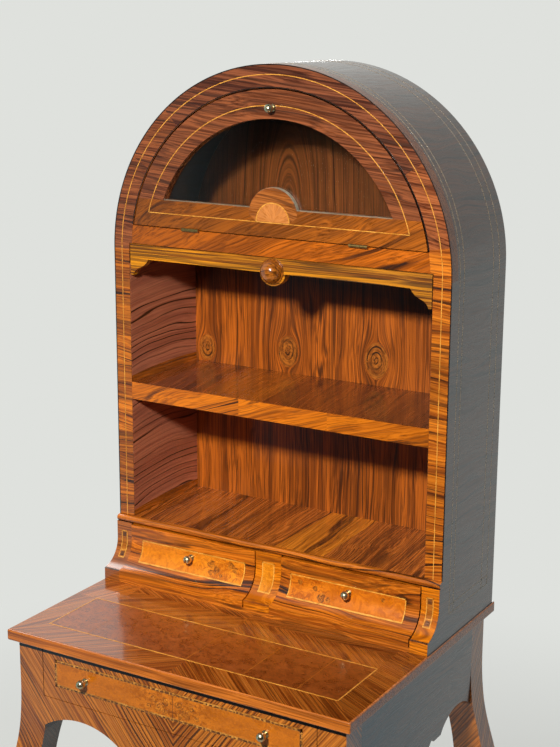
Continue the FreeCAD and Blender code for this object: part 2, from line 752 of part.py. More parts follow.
save("table_top", table_top)
save("case_screws", group(case_screws))
for apron_name, apron in aprons.items():
    save(apron_name, apron)
for side, sx in SIDES:
    save("leg_front_" + side, leg(sx, -1).cut(list(aprons.values())))
    save("leg_back_" + side, leg(sx, 1).cut(list(aprons.values())))
    save("drawer_runner_" + side, runner(sx))
    save("drawer_kicker_" + side, kicker(sx))
    save("case_side_" + side, case_side(sx))
    save("slide_runner_" + side, slide_runner(sx))
    small_drawer("small_drawer_" + side, sx)
frieze_drawer("frieze_drawer")

# Case
save("arch_top", arch_top)
save("arch_ring", arch_ring)
save("door_rail", door_rail)
save("door_stop", door_stop)
save("lunette_floor", lunette_floor)
save("middle_shelf", middle_shelf)
save("case_floor", case_floor)
save("floor_nose", floor_nose)
save("base_board", base_board.cut(case_screws))
save("base_divider", base_divider)
save("case_back", case_back)
save("hinge_leaves_case", group(leaves_case))
save("hinge_pins", group(pins))
save("hinge_screws_case", group(screws_case))

# Door and slide
save("door_arch", door_arch)
save("door_bottom_rail", door_bottom_rail)
save("door_glass", door_glass)
save("glazing_bead", glazing_bead)
save("door_knob", door_knob)
save("hinge_leaves_door", group(leaves_door))
save("hinge_screws_door", group(screws_door))
save("slide_front", slide_front)
save("slide_board", slide_board)
save("slide_knob", slide_knob)
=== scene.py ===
# %% [markdown]
# # A bonheur du jour in rosewood veneer
# A bonheur du jour is a small writing table with a case of shelves standing on it. The frame that is
# loaded here holds its carcase: every board, drawer, hinge and knob as a solid. What the eye enjoys on
# the real piece lies over that carcase, thin sheets of veneer and light lines let into them, so that is
# what this lesson makes. Lengths on the desk are in millimetres; the meshes turn them to metres.

# %% Load the carcase
import json
import math
import random
from functools import partial

import bmesh
import bpy
from mathutils import Matrix, Vector

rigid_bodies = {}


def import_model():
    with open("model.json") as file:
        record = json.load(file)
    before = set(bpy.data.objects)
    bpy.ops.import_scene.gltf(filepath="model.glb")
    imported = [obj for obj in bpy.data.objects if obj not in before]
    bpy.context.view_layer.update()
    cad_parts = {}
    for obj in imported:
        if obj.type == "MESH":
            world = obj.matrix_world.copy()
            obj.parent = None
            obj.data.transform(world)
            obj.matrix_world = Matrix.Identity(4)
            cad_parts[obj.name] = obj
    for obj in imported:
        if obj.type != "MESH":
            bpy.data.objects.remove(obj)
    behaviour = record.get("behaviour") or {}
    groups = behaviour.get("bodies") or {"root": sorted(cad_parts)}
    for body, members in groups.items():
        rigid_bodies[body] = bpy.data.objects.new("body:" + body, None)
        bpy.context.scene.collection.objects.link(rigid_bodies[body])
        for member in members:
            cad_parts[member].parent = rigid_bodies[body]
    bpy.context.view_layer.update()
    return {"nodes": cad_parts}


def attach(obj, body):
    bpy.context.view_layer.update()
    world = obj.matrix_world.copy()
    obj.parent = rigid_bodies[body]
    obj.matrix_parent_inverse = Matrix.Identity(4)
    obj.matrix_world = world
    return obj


for left_over in list(bpy.data.objects):
    bpy.data.objects.remove(left_over)

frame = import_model()
boards = frame["nodes"]

# %% [markdown]
# The camera could be placed by eye, but lining it up with known edges is surer. Its place, turn and
# tilt below bring the carcase's edges onto the photograph's, and the lens follows from the same sum:
# 1487 pixels of focal length on a picture 747 pixels high.

# %% Camera
PICTURE_HIGH, FOCAL_PIXELS, SENSOR_HIGH = 747, 1487.4, 36.0
YAW, PITCH, ROLL = 0.536, 0.242, 0.005
EYE = Vector((1.1191, -1.8181, 1.6697))

ahead = Vector((-math.sin(YAW) * math.cos(PITCH), math.cos(YAW) * math.cos(PITCH), -math.sin(PITCH)))
level = Vector((math.cos(YAW), math.sin(YAW), 0.0))
upward = level.cross(ahead)
across = level * math.cos(ROLL) + upward * math.sin(ROLL)
upright = upward * math.cos(ROLL) - level * math.sin(ROLL)
lens = bpy.data.cameras.new("photo_angle")
lens.sensor_fit = "VERTICAL"
lens.sensor_height = SENSOR_HIGH
lens.lens = FOCAL_PIXELS * SENSOR_HIGH / PICTURE_HIGH
camera = bpy.data.objects.new("photo_angle", lens)
camera.matrix_world = Matrix.Translation(EYE) @ Matrix((across, upright, -ahead)).transposed().to_4x4()
bpy.context.scene.collection.objects.link(camera)
bpy.context.scene.camera = camera
bpy.context.scene.view_settings.view_transform = "Standard"
print("lens in mm:", round(lens.lens, 2))

# %% [markdown]
# Every finish below is a small network of nodes, so the helpers come first. Colours are written as
# sRGB hex, as a colour picker shows them, and turned to the linear values that the shader works in.
# One function adds a node, sets it and wires it, which keeps each finish short enough to read. Its
# wiring also serves the shader node that a new material brings along.

# %% Colour and node helpers
def linear(code):
    channels = [int(code[i:i + 2], 16) / 255 for i in (1, 3, 5)]
    return (*[c / 12.92 if c <= 0.04045 else ((c + 0.055) / 1.055) ** 2.4 for c in channels], 1.0)


def wire(node, feeds):
    """Link or set inputs, by name or in the order the node shows them; a hex colour becomes linear."""
    shown = [socket for socket in node.inputs if socket.enabled]
    for key, value in feeds.items():
        socket = shown[key] if isinstance(key, int) else node.inputs[key]
        if isinstance(value, bpy.types.NodeSocket):
            node.id_data.links.new(value, socket)
        else:
            socket.default_value = linear(value) if isinstance(value, str) else value


def add(tree, kind, *feeds, out=0, **more):
    """Add a node; a capital letter names an input, a small one a setting. Gives back one output or all."""
    node = tree.nodes.new("ShaderNode" + kind)
    named = {key: more.pop(key) for key in list(more) if key[0].isupper()}
    for key, value in more.items():
        setattr(node, key, value)
    wire(node, {**dict(enumerate(feeds)), **named})
    shown = [socket for socket in node.outputs if socket.enabled]
    return node.outputs if out is None else shown[out] if isinstance(out, int) else node.outputs[out]


def new_finish(name):
    """A material, its shader, and the function above bound to its nodes."""
    finish = bpy.data.materials.new(name)
    finish.use_nodes = True
    return finish, finish.node_tree.nodes["Principled BSDF"], partial(add, finish.node_tree)


BLEND = dict(data_type="RGBA")
SOFT = dict(interpolation_type="SMOOTHSTEP")
PLUS, TIMES, TIMES_PLUS = (dict(operation=kind) for kind in ("ADD", "MULTIPLY", "MULTIPLY_ADD"))
print("boxwood yellow in linear light:", [round(c, 3) for c in linear("#eaa646")])

# %% [markdown]
# Sawn and sliced wood shows the log's growth as long streaks. A photograph of a board could be used,
# but it would not fit the many leaves here, so noise is stretched along the grain, at the real wood's
# sizes. Where the grain runs differs from piece to piece: a leaf carries a map of its own, a board
# follows its length, and the striped leaves of the frieze slant away from the desk's middle on both
# sides, as two leaves do that were opened like a book.

# %% Where the grain runs
def stretched_noise(node, place, along, over, detail):
    """Noise with patches of that length and width in millimetres."""
    spot = node("Mapping", place, Scale=(1000 / along, 1000 / over, 1000 / over))
    return node("TexNoise", spot, Scale=1.0, Detail=detail, Roughness=0.6)


def grain_place(node, lie):
    if lie == "leaf":
        return node("UVMap", out="UV", uv_map="grain")
    turned = [math.radians(a) for a in lie]
    return node("Mapping", node("TexCoord", out="Object"), Rotation=turned)


def striped_place(node, steep):
    """Outward from the middle on the front, and front to back on faces that look sideways."""
    x, y, z = node("SeparateXYZ", node("TexCoord", out="Object"), out=None)
    facing = node("SeparateXYZ", node("NewGeometry", out="Normal"), out=None)
    wide, deep, nx, ny = (node("Math", v, operation="ABSOLUTE") for v in (x, y, facing[0], facing[1]))
    sideways = node("Math", nx, ny, operation="GREATER_THAN")
    flat_place = node("CombineXYZ", X=node("Mix", sideways, wide, deep), Y=z)
    return node("Mapping", flat_place, Rotation=(0, 0, -math.radians(steep)))


print("ways of laying the grain: leaf, board, striped")

# %% [markdown]
# Two leaves of one log are never the same tone. A very slow noise over the grain map gives each leaf
# its own. Most woods also change tone from the desk's left end to its right. That is partly the wood's own
# tone and partly painted light, lighter toward the left where more light falls. Where the slide and the
# arch cast their shadows on the back board, the wood is drawn darker as painted shade, which deepens
# those shadows. Both are worked out from places on the desk, so they stay there from every side.

# %% Tone of a leaf
def along_desk(node, left, right):
    """Tone at the desk's left end and at its right end: partly the wood's own, partly painted light."""
    x = node("SeparateXYZ", node("TexCoord", out="Object"), out="X")
    return node("MapRange", x, -0.25, 0.25, left, right)


def shade_painted_past_edge(node, x, z, near, far, deep):
    """Painted shade: tone that falls past a round edge about x and z, where a cast shadow lies."""
    upright = node("VectorMath", node("TexCoord", out="Object"), (1.0, 0.0, 1.0), **TIMES)
    centre = (x / 1000, 0.0, z / 1000)
    away = node("VectorMath", upright, centre, operation="DISTANCE")
    return node("MapRange", away, near / 1000, far / 1000, 1.0, deep)


def inward_shade_painted(node, colour):
    """Painted shade: faces that look to the desk's middle, such as the legs' inner ones, are drawn nearly black.
    """
    x = node("SeparateXYZ", node("TexCoord", out="Object"), out="X")
    nx = node("SeparateXYZ", node("NewGeometry", out="Normal"), out="X")
    turned_in = node("Math", x, nx, **TIMES)
    inner = node("MapRange", turned_in, -0.07, -0.15, 0.0, 0.92)
    return node("Mix", inner, colour, "#120b07", **BLEND)


def in_own_tone(node, colour, place, tone, fade, painted_shadow=None):
    own = node("TexNoise", place, Scale=0.41, Detail=0.0)
    value = node("MapRange", own, 0.3, 0.7, 1 - tone, 1 + tone)
    if fade:
        value = node("Math", value, along_desk(node, *fade), **TIMES)
    if painted_shadow:
        value = node("Math", value, shade_painted_past_edge(node, *painted_shadow), **TIMES)
    return node("HueSaturation", Color=colour, Value=value)


print("tones: by leaf, along the desk, kept dark, dark inside")

# %% [markdown]
# Polished wood has soft broad bands, finer streaks between them, thin dark veins that wander together
# and short open pores. Stretched noise gives bands, streaks and pores, a sine across the grain gives
# the veins, and a slow noise pushes all of them sideways so that they bend as one. French polish lies
# over it as a thin clear coat, which is what makes rosewood look deep. Streak and band are widths in
# millimetres, reach is a length, and vein is the step from one vein to the next.

# %% Polished wood
WOOD_IOR = 1.5
# Real pores are about 0.2 mm wide, too fine to show, so they are drawn ten times as wide
PORE = 2.1


def polished_wood(name, pale, mid, dark, streak=3.0, reach=70.0, band=22.0, vein=14.0, vein_dark=0.7,
                  vein_cut=0.55, wander=16.0, sway=6.0, hair=0.5, tone=0.25, fade=None, painted_shadow=None,
                  lie="leaf", steep=None, gloss=0.3, rub=0.07, coat=0.4, haze=0.08):
    finish, shader, node = new_finish(name)
    place = grain_place(node, lie) if steep is None else striped_place(node, steep)
    slow = stretched_noise(node, place, 170, 55, 1.0)
    push = node("MapRange", slow, 0.25, 0.75, -sway / 1000, sway / 1000, clamp=False)
    bent = node("VectorMath", place, node("CombineXYZ", Y=push, Z=push), **PLUS)
    broad = stretched_noise(node, bent, reach * 5, band, 2.0)
    fine = stretched_noise(node, bent, reach, streak, 3.0)
    pores = stretched_noise(node, bent, reach * 0.5, PORE, 1.5)
    share = node("Math", fine, 0.55, **TIMES)
    body = node("Math", broad, 0.45, share, **TIMES_PLUS)
    light = node("MapRange", body, 0.4, 0.59, 0.0, 1.0, **SOFT)
    ground = node("Mix", light, mid, pale, **BLEND)
    over = node("VectorMath", bent, (0.0, 0.8, 0.6), operation="DOT_PRODUCT")
    drift = node("Math", broad, wander, **TIMES)
    ring = node("Math", over, 2 * math.pi * 1000 / vein, drift, **TIMES_PLUS)
    ragged = node("Math", fine, 0.9, node("Math", ring, operation="SINE"), **TIMES_PLUS)
    line = node("MapRange", ragged, vein_cut + 0.45, 1.5, 0.0, 1.0, **SOFT)
    crowd = stretched_noise(node, bent, reach * 4, band * 1.7, 1.0)
    group = node("MapRange", crowd, 0.4, 0.6, 0.15, vein_dark)
    veined = node("Mix", node("Math", line, group, **TIMES), ground, dark, **BLEND)
    pored = node("MapRange", pores, 0.5, 0.64, 0.0, hair)
    speckled = node("Mix", pored, veined, dark, **BLEND)
    colour = in_own_tone(node, speckled, place, tone, fade, painted_shadow)
    wire(shader, {
        "Base Color": colour if steep is None else inward_shade_painted(node, colour),
        "Roughness": node("MapRange", fine, 0.3, 0.7, gloss - rub, gloss + rub),
        "Normal": node("Bump", Height=pores, Strength=0.12, Distance=0.0004),
        "IOR": WOOD_IOR, "Coat Weight": coat, "Coat Roughness": haze})
    return finish


print("pores drawn in mm:", PORE)

# %% [markdown]
# Burr is cut from a swelling on the trunk where the grain turns round many small buds. It has no
# direction: clouds of light and dark, curling fibres and flocks of small eyes with rings round them.
# Short fibres of noise are pushed about by two eddies, a large one and a small one, so that they curl.
# Voronoi cells give the eyes, a sine of the distance their rings, and a slow noise says where they
# flock. On the drawers the burr calms down to straight grain toward one end.

# %% Burr wood
# Real burr grit is a few tenths of a millimetre, too fine to show, so it is drawn coarser
GRIT = 2.2
EYE_STEP, FLOCK_STEP = 10.0, 60.0


def burr_wood(name, pale, mid, dark, cloud, eyes, flock=0.52, curl=0.55, calm=None, fade=None, coat=0.4,
              haze=0.25):
    finish, shader, node = new_finish(name)
    place = curly = grain_place(node, "leaf")
    for size, push in ((cloud, 0.03), (cloud / 3, 0.01)):
        eddy = node("TexNoise", place, Scale=1000 / size, Detail=1.0, out="Color")
        centred = node("VectorMath", eddy, (0.5, 0.5, 0.5), operation="SUBTRACT")
        pushed = node("VectorMath", centred, Scale=push, operation="SCALE")
        curly = node("VectorMath", curly, pushed, **PLUS)
    clouds = stretched_noise(node, curly, cloud * 1.6, cloud, 2.0)
    fibre = stretched_noise(node, curly, 26.0, 3.0, 3.0)
    share = node("Math", fibre, 0.5, **TIMES)
    body = node("Math", clouds, 0.5, share, **TIMES_PLUS)
    light = node("MapRange", body, 0.4, 0.6, 0.0, 1.0, **SOFT)
    ground = node("Mix", light, mid, pale, **BLEND)
    curled = node("MapRange", fibre, 0.45, 0.3, 0.0, curl)
    lined = node("Mix", curled, ground, dark, **BLEND)
    cells = node("TexVoronoi", curly, Scale=1000 / EYE_STEP)
    core = node("MapRange", cells, 0.1, 0.2, 1.0, 0.0)
    rings = node("Math", node("Math", cells, 30.0, **TIMES), operation="SINE")
    halo = node("MapRange", cells, 0.25, 0.6, 0.6, 0.0)
    bud = node("Math", rings, halo, core, use_clamp=True, **TIMES_PLUS)
    herd = node("TexNoise", place, Scale=1000 / FLOCK_STEP, Detail=1.0)
    where = node("MapRange", herd, flock, flock + 0.1, 0.0, eyes)
    eyed = node("Mix", node("Math", bud, where, **TIMES), lined, dark, **BLEND)
    grit = node("TexNoise", place, Scale=1000 / GRIT, Detail=2.0)
    gritty = node("MapRange", grit, 0.55, 0.75, 0.0, 0.3)
    colour = node("Mix", gritty, eyed, dark, **BLEND)
    if calm:
        x = node("SeparateXYZ", node("TexCoord", out="Object"), out="X")
        wide = node("Math", x, operation="ABSOLUTE")
        still = node("MapRange", wide, calm[0] / 1000, calm[1] / 1000, 0.0, 0.9, **SOFT)
        streaks = stretched_noise(node, curly, 90, 5, 3.0)
        even = node("MapRange", streaks, 0.3, 0.7, 0.0, 1.0)
        straight = node("Mix", even, mid, pale, **BLEND)
        colour = node("Mix", still, colour, straight, **BLEND)
    wire(shader, {
        "Base Color": in_own_tone(node, colour, place, 0.12, fade),
        "Roughness": node("MapRange", clouds, 0.3, 0.7, 0.24, 0.38),
        "Normal": node("Bump", Height=fibre, Strength=0.2, Distance=0.0006),
        "IOR": WOOD_IOR, "Coat Weight": coat, "Coat Roughness": haze})
    return finish


print("eyes of burr stand about", EYE_STEP, "mm apart")

# %% [markdown]
# These woods show on the carcase itself. Rosewood is warm orange brown with near black veins: cut at a
# slant it flames, and on the frieze it stripes like a zebra. The slide's front is open-grained oak, and
# drawer boxes and back are plain poplar, because nobody sees them. Each could have a network of its
# own, but they differ only in colour and size, so they are calls of one function.

# %% Rosewoods of the carcase
ALONG_X = (0, 0, 0)
ALONG_Y = (0, 0, -90)
UPRIGHT = (0, 90, 0)

# Leaves striped like a zebra under clear polish: tight dark stripes, 5 to 6 mm apart, with painted shade on faces
# turned inward
striped = polished_wood("rosewood_striped_leaf_polished", "#ce7923", "#884311", "#3a1a07", streak=2.4,
                        reach=220, band=15, vein=5.6, vein_dark=0.95, vein_cut=0.3, wander=9, sway=2.0,
                        tone=0.05, fade=(0.92, 1.04), steep=52, gloss=0.28, coat=0.7, haze=0.16)
# Solid edges, planed and polished: even and light, with hardly a vein
edge_wood = polished_wood("rosewood_solid_edge_polished", "#d17522", "#a55616", "#552708", streak=1.6,
                          reach=240, band=9, vein=6, vein_dark=0.4, sway=2, tone=0.06, lie=ALONG_X, gloss=0.28)
# Board faces that veneer will cover: middling brown where a joint lets them show
board_face = polished_wood("rosewood_carcase_face_polished", "#a85e22", "#7f4014", "#371709", streak=2.6,
                           reach=90, band=16, vein_dark=0.8, sway=4, tone=0.1, lie=(0, 4, 0))
# The sides, handled and hazed: dark brown under a coat that mirrors the pale room
side_leaf = polished_wood("rosewood_side_leaf_polished", "#6a3e24", "#472714", "#1a0c07", reach=120, band=20,
                          vein=16, vein_dark=1.0, vein_cut=0.4, sway=8, tone=0.1, lie=(3, 0, -90), coat=0.8,
                          rub=0.1, haze=0.25)
# Crossbanding, cut short across the border: streaks a hand long, no two alike
CROSS_CUT = dict(streak=2.2, reach=190, vein=9, vein_dark=0.75, hair=0.42)
door_leaf = polished_wood("rosewood_door_leaf_polished", "#95522c", "#582b15", "#241008", **CROSS_CUT,
                          band=16, vein_cut=0.5, tone=0.08, lie=(0, -6, 0))
# Flamed wood, sliced at a slant: broad glowing tongues between dark veins
FLAME = dict(streak=2.2, reach=170, band=24, vein_dark=1.0)
RAIL = dict(**FLAME, vein=25, vein_cut=0.62, sway=12, tone=0.05, lie=(0, 24, 0), hair=0.4)
rail_flame = polished_wood("rosewood_rail_flamed_polished", "#c2620a", "#8f4608", "#2a1105", **RAIL,
                           fade=(0.74, 1.1))
door_foot = polished_wood("rosewood_door_foot_polished", "#a3560e", "#783e0c", "#2a1105", **RAIL,
                          fade=(0.74, 1.2))
# Mouldings and drawer fronts: long dark veins on orange, softly glossy
MOULDED = dict(streak=2.4, reach=260, vein_dark=1.0, tone=0.08, fade=(1.06, 0.88), gloss=0.26, haze=0.2)
base_leaf = polished_wood("rosewood_base_moulding_polished", "#d6761b", "#964a0e", "#220d04", **MOULDED,
                          band=18, vein=15, lie=ALONG_X, coat=0.6)
front_leaf = polished_wood("rosewood_drawer_front_polished", "#dd7915", "#9c4b0b", "#220d04", **MOULDED,
                           vein=19, vein_cut=0.62, sway=9, lie=(0, 2, 0), coat=0.5)
print("rosewoods on the carcase:", len(bpy.data.materials))

# %% Oak, walnut and plain woods
# Quarter-sawn oak under old varnish: straight golden lines and open dark pores
oak = polished_wood("oak_quarter_sawn_varnished", "#d4860b", "#783f05", "#241203", streak=1.7, reach=280,
                    band=9, vein=5.0, vein_dark=1.0, vein_cut=0.25, sway=2, hair=0.7, tone=0.05,
                    fade=(1.1, 0.76), lie=ALONG_X, gloss=0.4, coat=0.1)
# Walnut turned on the lathe and polished: close rings and a small sharp highlight
knob_wood = polished_wood("walnut_turned_knob_polished", "#a8601a", "#7c420f", "#2f1605", streak=1.6,
                          reach=30, band=9, vein=5, vein_dark=0.8, sway=3, tone=0.05, lie=ALONG_X, gloss=0.2,
                          coat=0.55)
# Walnut board, waxed: darker than poplar and only a little shiny
slide_wood = polished_wood("walnut_slide_board_waxed", "#7c4b22", "#5a3315", "#2b1508", reach=220, vein=16,
                           tone=0.05, lie=ALONG_X, gloss=0.4, coat=0.2)
# Pine stained nearly black, so that the room behind the glass looks deep
STAINED = dict(reach=120, vein=18, sway=4, tone=0.1)
dark_floor = polished_wood("pine_floor_stained_dark", "#3a2413", "#2a190c", "#120904", **STAINED,
                           vein_dark=0.6, lie=ALONG_X, gloss=0.45, coat=0.1)
# Poplar, sawn and waxed: pale, dull, with soft streaks
PLAIN = dict(streak=3.5, vein_dark=0.5, tone=0.05, gloss=0.62, coat=0.0)
POPLAR = ("#a67b4a", "#8a6238", "#55391d")
plain_x = polished_wood("poplar_plain_sawn_waxed", *POPLAR, **PLAIN, reach=160, vein=16, lie=ALONG_X)
plain_y = polished_wood("poplar_drawer_side_waxed", *POPLAR, **PLAIN, reach=160, vein=16, lie=ALONG_Y)
plain_z = polished_wood("poplar_upright_boards_waxed", "#96693c", "#79522c", "#4a3019", **PLAIN, reach=220,
                        vein=18, sway=7, lie=UPRIGHT)
print("woods on the carcase:", len(bpy.data.materials))

# %% [markdown]
# The knobs and hinges are brass that has been handled for a long time: bright where fingers rub, brown
# in the hollows. One even yellow would look like paint, so a noise of stains mixes two colours and also
# roughens the dull ones. A metal keeps the default IOR; its colour and roughness carry the age.

# %% Aged metal
STAIN = 6.0
# Fine scratches, drawn coarser than the real tenths of a millimetre so that they show
SCRATCH = 1.5


def aged_metal(name, bright, tarnish, rough):
    finish, shader, node = new_finish(name)
    solid = node("TexCoord", out="Object")
    stain = node("TexNoise", solid, Scale=1000 / STAIN, Detail=4.0)
    share = node("MapRange", stain, 0.45, 0.7, 0.0, 0.8)
    marks = node("TexNoise", solid, Scale=1000 / SCRATCH, Detail=2.0)
    wire(shader, {
        "Base Color": node("Mix", share, bright, tarnish, **BLEND),
        "Roughness": node("MapRange", stain, 0.3, 0.7, rough - 0.06, rough + 0.16),
        "Normal": node("Bump", Height=marks, Strength=0.1, Distance=0.0003),
        "Metallic": 1.0})
    return finish


# Turned brass, rubbed pale; hinge brass, brown and dull; iron screws, grey with a hint of rust
brass = aged_metal("brass_turned_aged", "#dfcfa6", "#7d6642", 0.24)
hinge_brass = aged_metal("brass_hinge_tarnished", "#a98a52", "#5a4526", 0.36)
screw_iron = aged_metal("iron_screw_dull", "#8b8782", "#4a4038", 0.42)
print("metals:", brass.name, hinge_brass.name, screw_iron.name)

# %% [markdown]
# The half-moon pane is old drawn glass, slightly wavy and dusty. A clear glass shader would throw a
# black shadow on the back board, because light through it is hard to trace, so rays on their way to a
# lamp pass it freely. The dust only dims and roughens it a little.

# %% Glass
DUST = 40.0
pane, shader, node = new_finish("window_glass_drawn_dusty")
dust = node("TexNoise", node("TexCoord", out="Object"), Scale=1000 / DUST, Detail=5.0)
wire(shader, {
    "Base Color": node("Mix", dust, "#f4f6f3", "#e2e6e0", **BLEND),
    "Roughness": node("MapRange", dust, 0.45, 0.75, 0.01, 0.05),
    "Normal": node("Bump", Height=dust, Strength=0.03, Distance=0.001),
    "Transmission Weight": 1.0, "IOR": 1.45, "Specular IOR Level": 0.22})
to_lamp = node("LightPath", out="Is Shadow Ray")
passed = node("MixShader", to_lamp, shader.outputs[0], node("BsdfTransparent"))
wire(pane.node_tree.nodes["Material Output"], {"Surface": passed})
print("glass:", pane.name)

# %% [markdown]
# Each carcase piece now gets its finish. Most show only an edge or an inside, since leaves will cover
# their faces, but the finish must hold where the leaves stop and when a drawer is pulled out.

# %% Finish the carcase
SMALL_DRAWERS = ("small_drawer_left", "small_drawer_right")


def wear(finish, *names):
    for name in names:
        boards[name].data.materials.clear()
        boards[name].data.materials.append(finish)


wear(edge_wood, "table_top")
wear(striped, "front_apron", "frieze_drawer_front",
     "leg_front_left", "leg_front_right", "leg_back_left", "leg_back_right")
wear(board_face, "arch_ring", "door_stop", "middle_shelf", "case_floor")
wear(side_leaf, "case_side_left", "case_side_right", "arch_top", "side_apron_left", "side_apron_right")
wear(dark_floor, "lunette_floor")
wear(rail_flame, "door_rail")
wear(door_foot, "door_bottom_rail")
wear(door_leaf, "door_arch", "glazing_bead")
wear(oak, "slide_front")
wear(knob_wood, "slide_knob")
wear(slide_wood, "slide_board")
wear(base_leaf, "base_board", "floor_nose", "base_divider")
wear(plain_z, "case_back")
wear(plain_x, "back_apron", "drawer_runner_left", "drawer_runner_right", "drawer_kicker_left",
     "drawer_kicker_right", "slide_runner_left", "slide_runner_right")
for drawer in (*SMALL_DRAWERS, "frieze_drawer"):
    wear(plain_x, drawer + "_back", drawer + "_bottom")
    wear(plain_y, drawer + "_side_left", drawer + "_side_right")
for drawer in SMALL_DRAWERS:
    wear(front_leaf, drawer + "_front")
    wear(brass, drawer + "_knob")
wear(brass, "door_knob", "frieze_drawer_knobs", "hinge_screws_case", "hinge_screws_door")
wear(hinge_brass, "hinge_leaves_case", "hinge_leaves_door", "hinge_pins")
wear(screw_iron, "case_screws")
wear(pane, "door_glass")
print("pieces without a finish of their own:", [name for name in boards if len(boards[name].data.materials) != 1])

# %% [markdown]
# A leaf of veneer is a thin closed slab that follows the carcase. It could be one face with a picture
# on it, but a slab keeps its crisp edge in any light. Each leaf is a grid of points on the carcase,
# lifted a little, and it carries a map named grain that says how far along and across the grain a point
# is, so that a leaf can be turned, bowed or swapped for another part of the log.

# %% Leaves
# How far veneer and lines stand proud of the board, and how deep both reach into it
LEAF, SLIP_IN, LINE, SUNK = 0.3, 0.4, 0.55, 0.25
SHARP = math.radians(35)


class Glued:
    """Leaves that are glued to one body and become one mesh."""

    def __init__(self, name, body):
        self.name, self.body = name, body
        self.points, self.faces, self.maps, self.kinds, self.finishes = [], [], [], [], []

    def leaf(self, finish, rows, out, grain, stand=LEAF):
        if finish not in self.finishes:
            self.finishes.append(finish)
        high, wide, first = len(rows), len(rows[0]), len(self.points)
        for lift in (stand, -SUNK):
            for row in rows:
                self.points += [p + (out(p) if callable(out) else out) * lift for p in row]
        spots = [grain(p) for row in rows for p in row] * 2
        under = high * wide
        quads = []
        for i in range(high - 1):
            for a in range(i * wide, i * wide + wide - 1):
                quads.append((a, a + 1, a + 1 + wide, a + wide))
                quads.append((a + under + wide, a + under + 1 + wide, a + under + 1, a + under))
        rim = list(range(wide)) + [i * wide + wide - 1 for i in range(1, high)]
        rim += [(high - 1) * wide + j for j in range(wide - 2, -1, -1)]
        rim += [i * wide for i in range(high - 2, 0, -1)]
        quads += [(b, a, a + under, b + under) for a, b in zip(rim, rim[1:] + rim[:1])]
        for quad in quads:
            self.faces.append([first + k for k in quad])
            self.maps.append([spots[k] for k in quad])
            self.kinds.append(self.finishes.index(finish))

    def done(self):
        mesh = bpy.data.meshes.new(self.name)
        mesh.from_pydata([p * 0.001 for p in self.points], [], self.faces)
        for finish in self.finishes:
            mesh.materials.append(finish)
        grain_map = mesh.uv_layers.new(name="grain")
        for polygon, kind, spots in zip(mesh.polygons, self.kinds, self.maps):
            polygon.material_index = kind
            for loop, spot in zip(polygon.loop_indices, spots):
                grain_map.data[loop].uv = (spot[0] * 0.001, spot[1] * 0.001)
        shell = bmesh.new()
        shell.from_mesh(mesh)
        bmesh.ops.recalc_face_normals(shell, faces=shell.faces)
        shell.to_mesh(mesh)
        shell.free()
        mesh.polygons.foreach_set("use_smooth", [True] * len(mesh.polygons))
        mesh.set_sharp_from_angle(angle=SHARP)
        piece = bpy.data.objects.new(self.name, mesh)
        bpy.context.scene.collection.objects.link(piece)
        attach(piece, self.body)
        print(self.name, "leaves laid:", len(self.faces), "faces")


print("leaf and line stand proud, mm:", LEAF, LINE)

# %% [markdown]
# A veneer maker cuts leaves to a few shapes: four-cornered ones on flat faces, and parts of rings round
# the arch. Each face has two directions to measure in and one that points out of it. The grain of a
# leaf starts from a fresh part of the log each time; the chances are drawn from one seed, so the desk
# comes out the same on every run.

# %% Shapes of leaves
FACES = {
    "front": (Vector((1, 0, 0)), Vector((0, 0, 1)), Vector((0, -1, 0))),
    "top": (Vector((1, 0, 0)), Vector((0, 1, 0)), Vector((0, 0, 1))),
    "right": (Vector((0, 1, 0)), Vector((0, 0, 1)), Vector((1, 0, 0))),
    "left": (Vector((0, 1, 0)), Vector((0, 0, 1)), Vector((-1, 0, 0))),
}
FRONT, TOP, RIGHT, LEFT = (face[2] for face in FACES.values())
LOG_ALONG, LOG_OVER = 7310.0, 3770.0
chance = random.Random(1770)


def run(face, degrees=0.0, slip=None):
    """Grain at that angle on that face, from a fresh part of the log unless slip says which."""
    a, b, _ = FACES[face]
    c, s = math.cos(math.radians(degrees)), math.sin(math.radians(degrees))
    slip = chance.randrange(1, 60) if slip is None else slip
    return lambda p: (p.dot(a) * c + p.dot(b) * s + slip * LOG_ALONG,
                      p.dot(b) * c - p.dot(a) * s + slip * LOG_OVER)


def spread(a, b, most):
    """Points from a to b, no further apart than most."""
    n = max(1, math.ceil(abs(b - a) / most))
    return [a + (b - a) * k / n for k in range(n + 1)]


def flat(face, depth, corners):
    """A four-cornered leaf on a flat face; its corners go round it."""
    a, b, out = FACES[face]
    axis = Vector((abs(out.x), abs(out.y), abs(out.z)))
    p = [a * u + b * v + axis * depth for u, v in corners]
    return [[p[0], p[1]], [p[3], p[2]]]


def oblong(face, depth, u0, u1, v0, v1):
    return flat(face, depth, [(u0, v0), (u1, v0), (u1, v1), (u0, v1)])


def round_rows(turns, *rows):
    """Rows of points round a level axis, each row with its radius, depth and height."""
    return [[Vector((r * math.cos(t), y, z + r * math.sin(t))) for t in turns] for r, y, z in rows]


def sector(depth, height, r0, r1, start, end, most=3.0):
    """Part of a ring on the front, about the arch's centre or another at that height."""
    turns = spread(math.radians(start), math.radians(end), most / max(r1, 8.0))
    return round_rows(turns, (r0, depth, height), (r1, depth, height))


def outward(height, way=1):
    """Away from a level axis at that height, or toward it."""
    return lambda p: Vector((p.x, 0, p.z - height)).normalized() * way


def four_sides(u0, u1, v0, v1, inside, outside=0.0):
    """Strips along an oblong's bottom, top, left and right."""
    return [(u0, u1, v0 - outside, v0 + inside), (u0, u1, v1 - inside, v1 + outside),
            (u0 - outside, u0 + inside, v0, v1), (u1 - inside, u1 + outside, v0, v1)]


print("faces that leaves are laid on:", ", ".join(FACES))

# %% [markdown]
# The case's face is an arch on two stiles. Its veneer was laid crosswise in short lengths, so each
# length has its own tone, with a boxwood line 15 mm in from the edge and a dark edge outside. One ring
# with a bent grain would be quicker, but its joints and changes of tone are what makes it look laid.

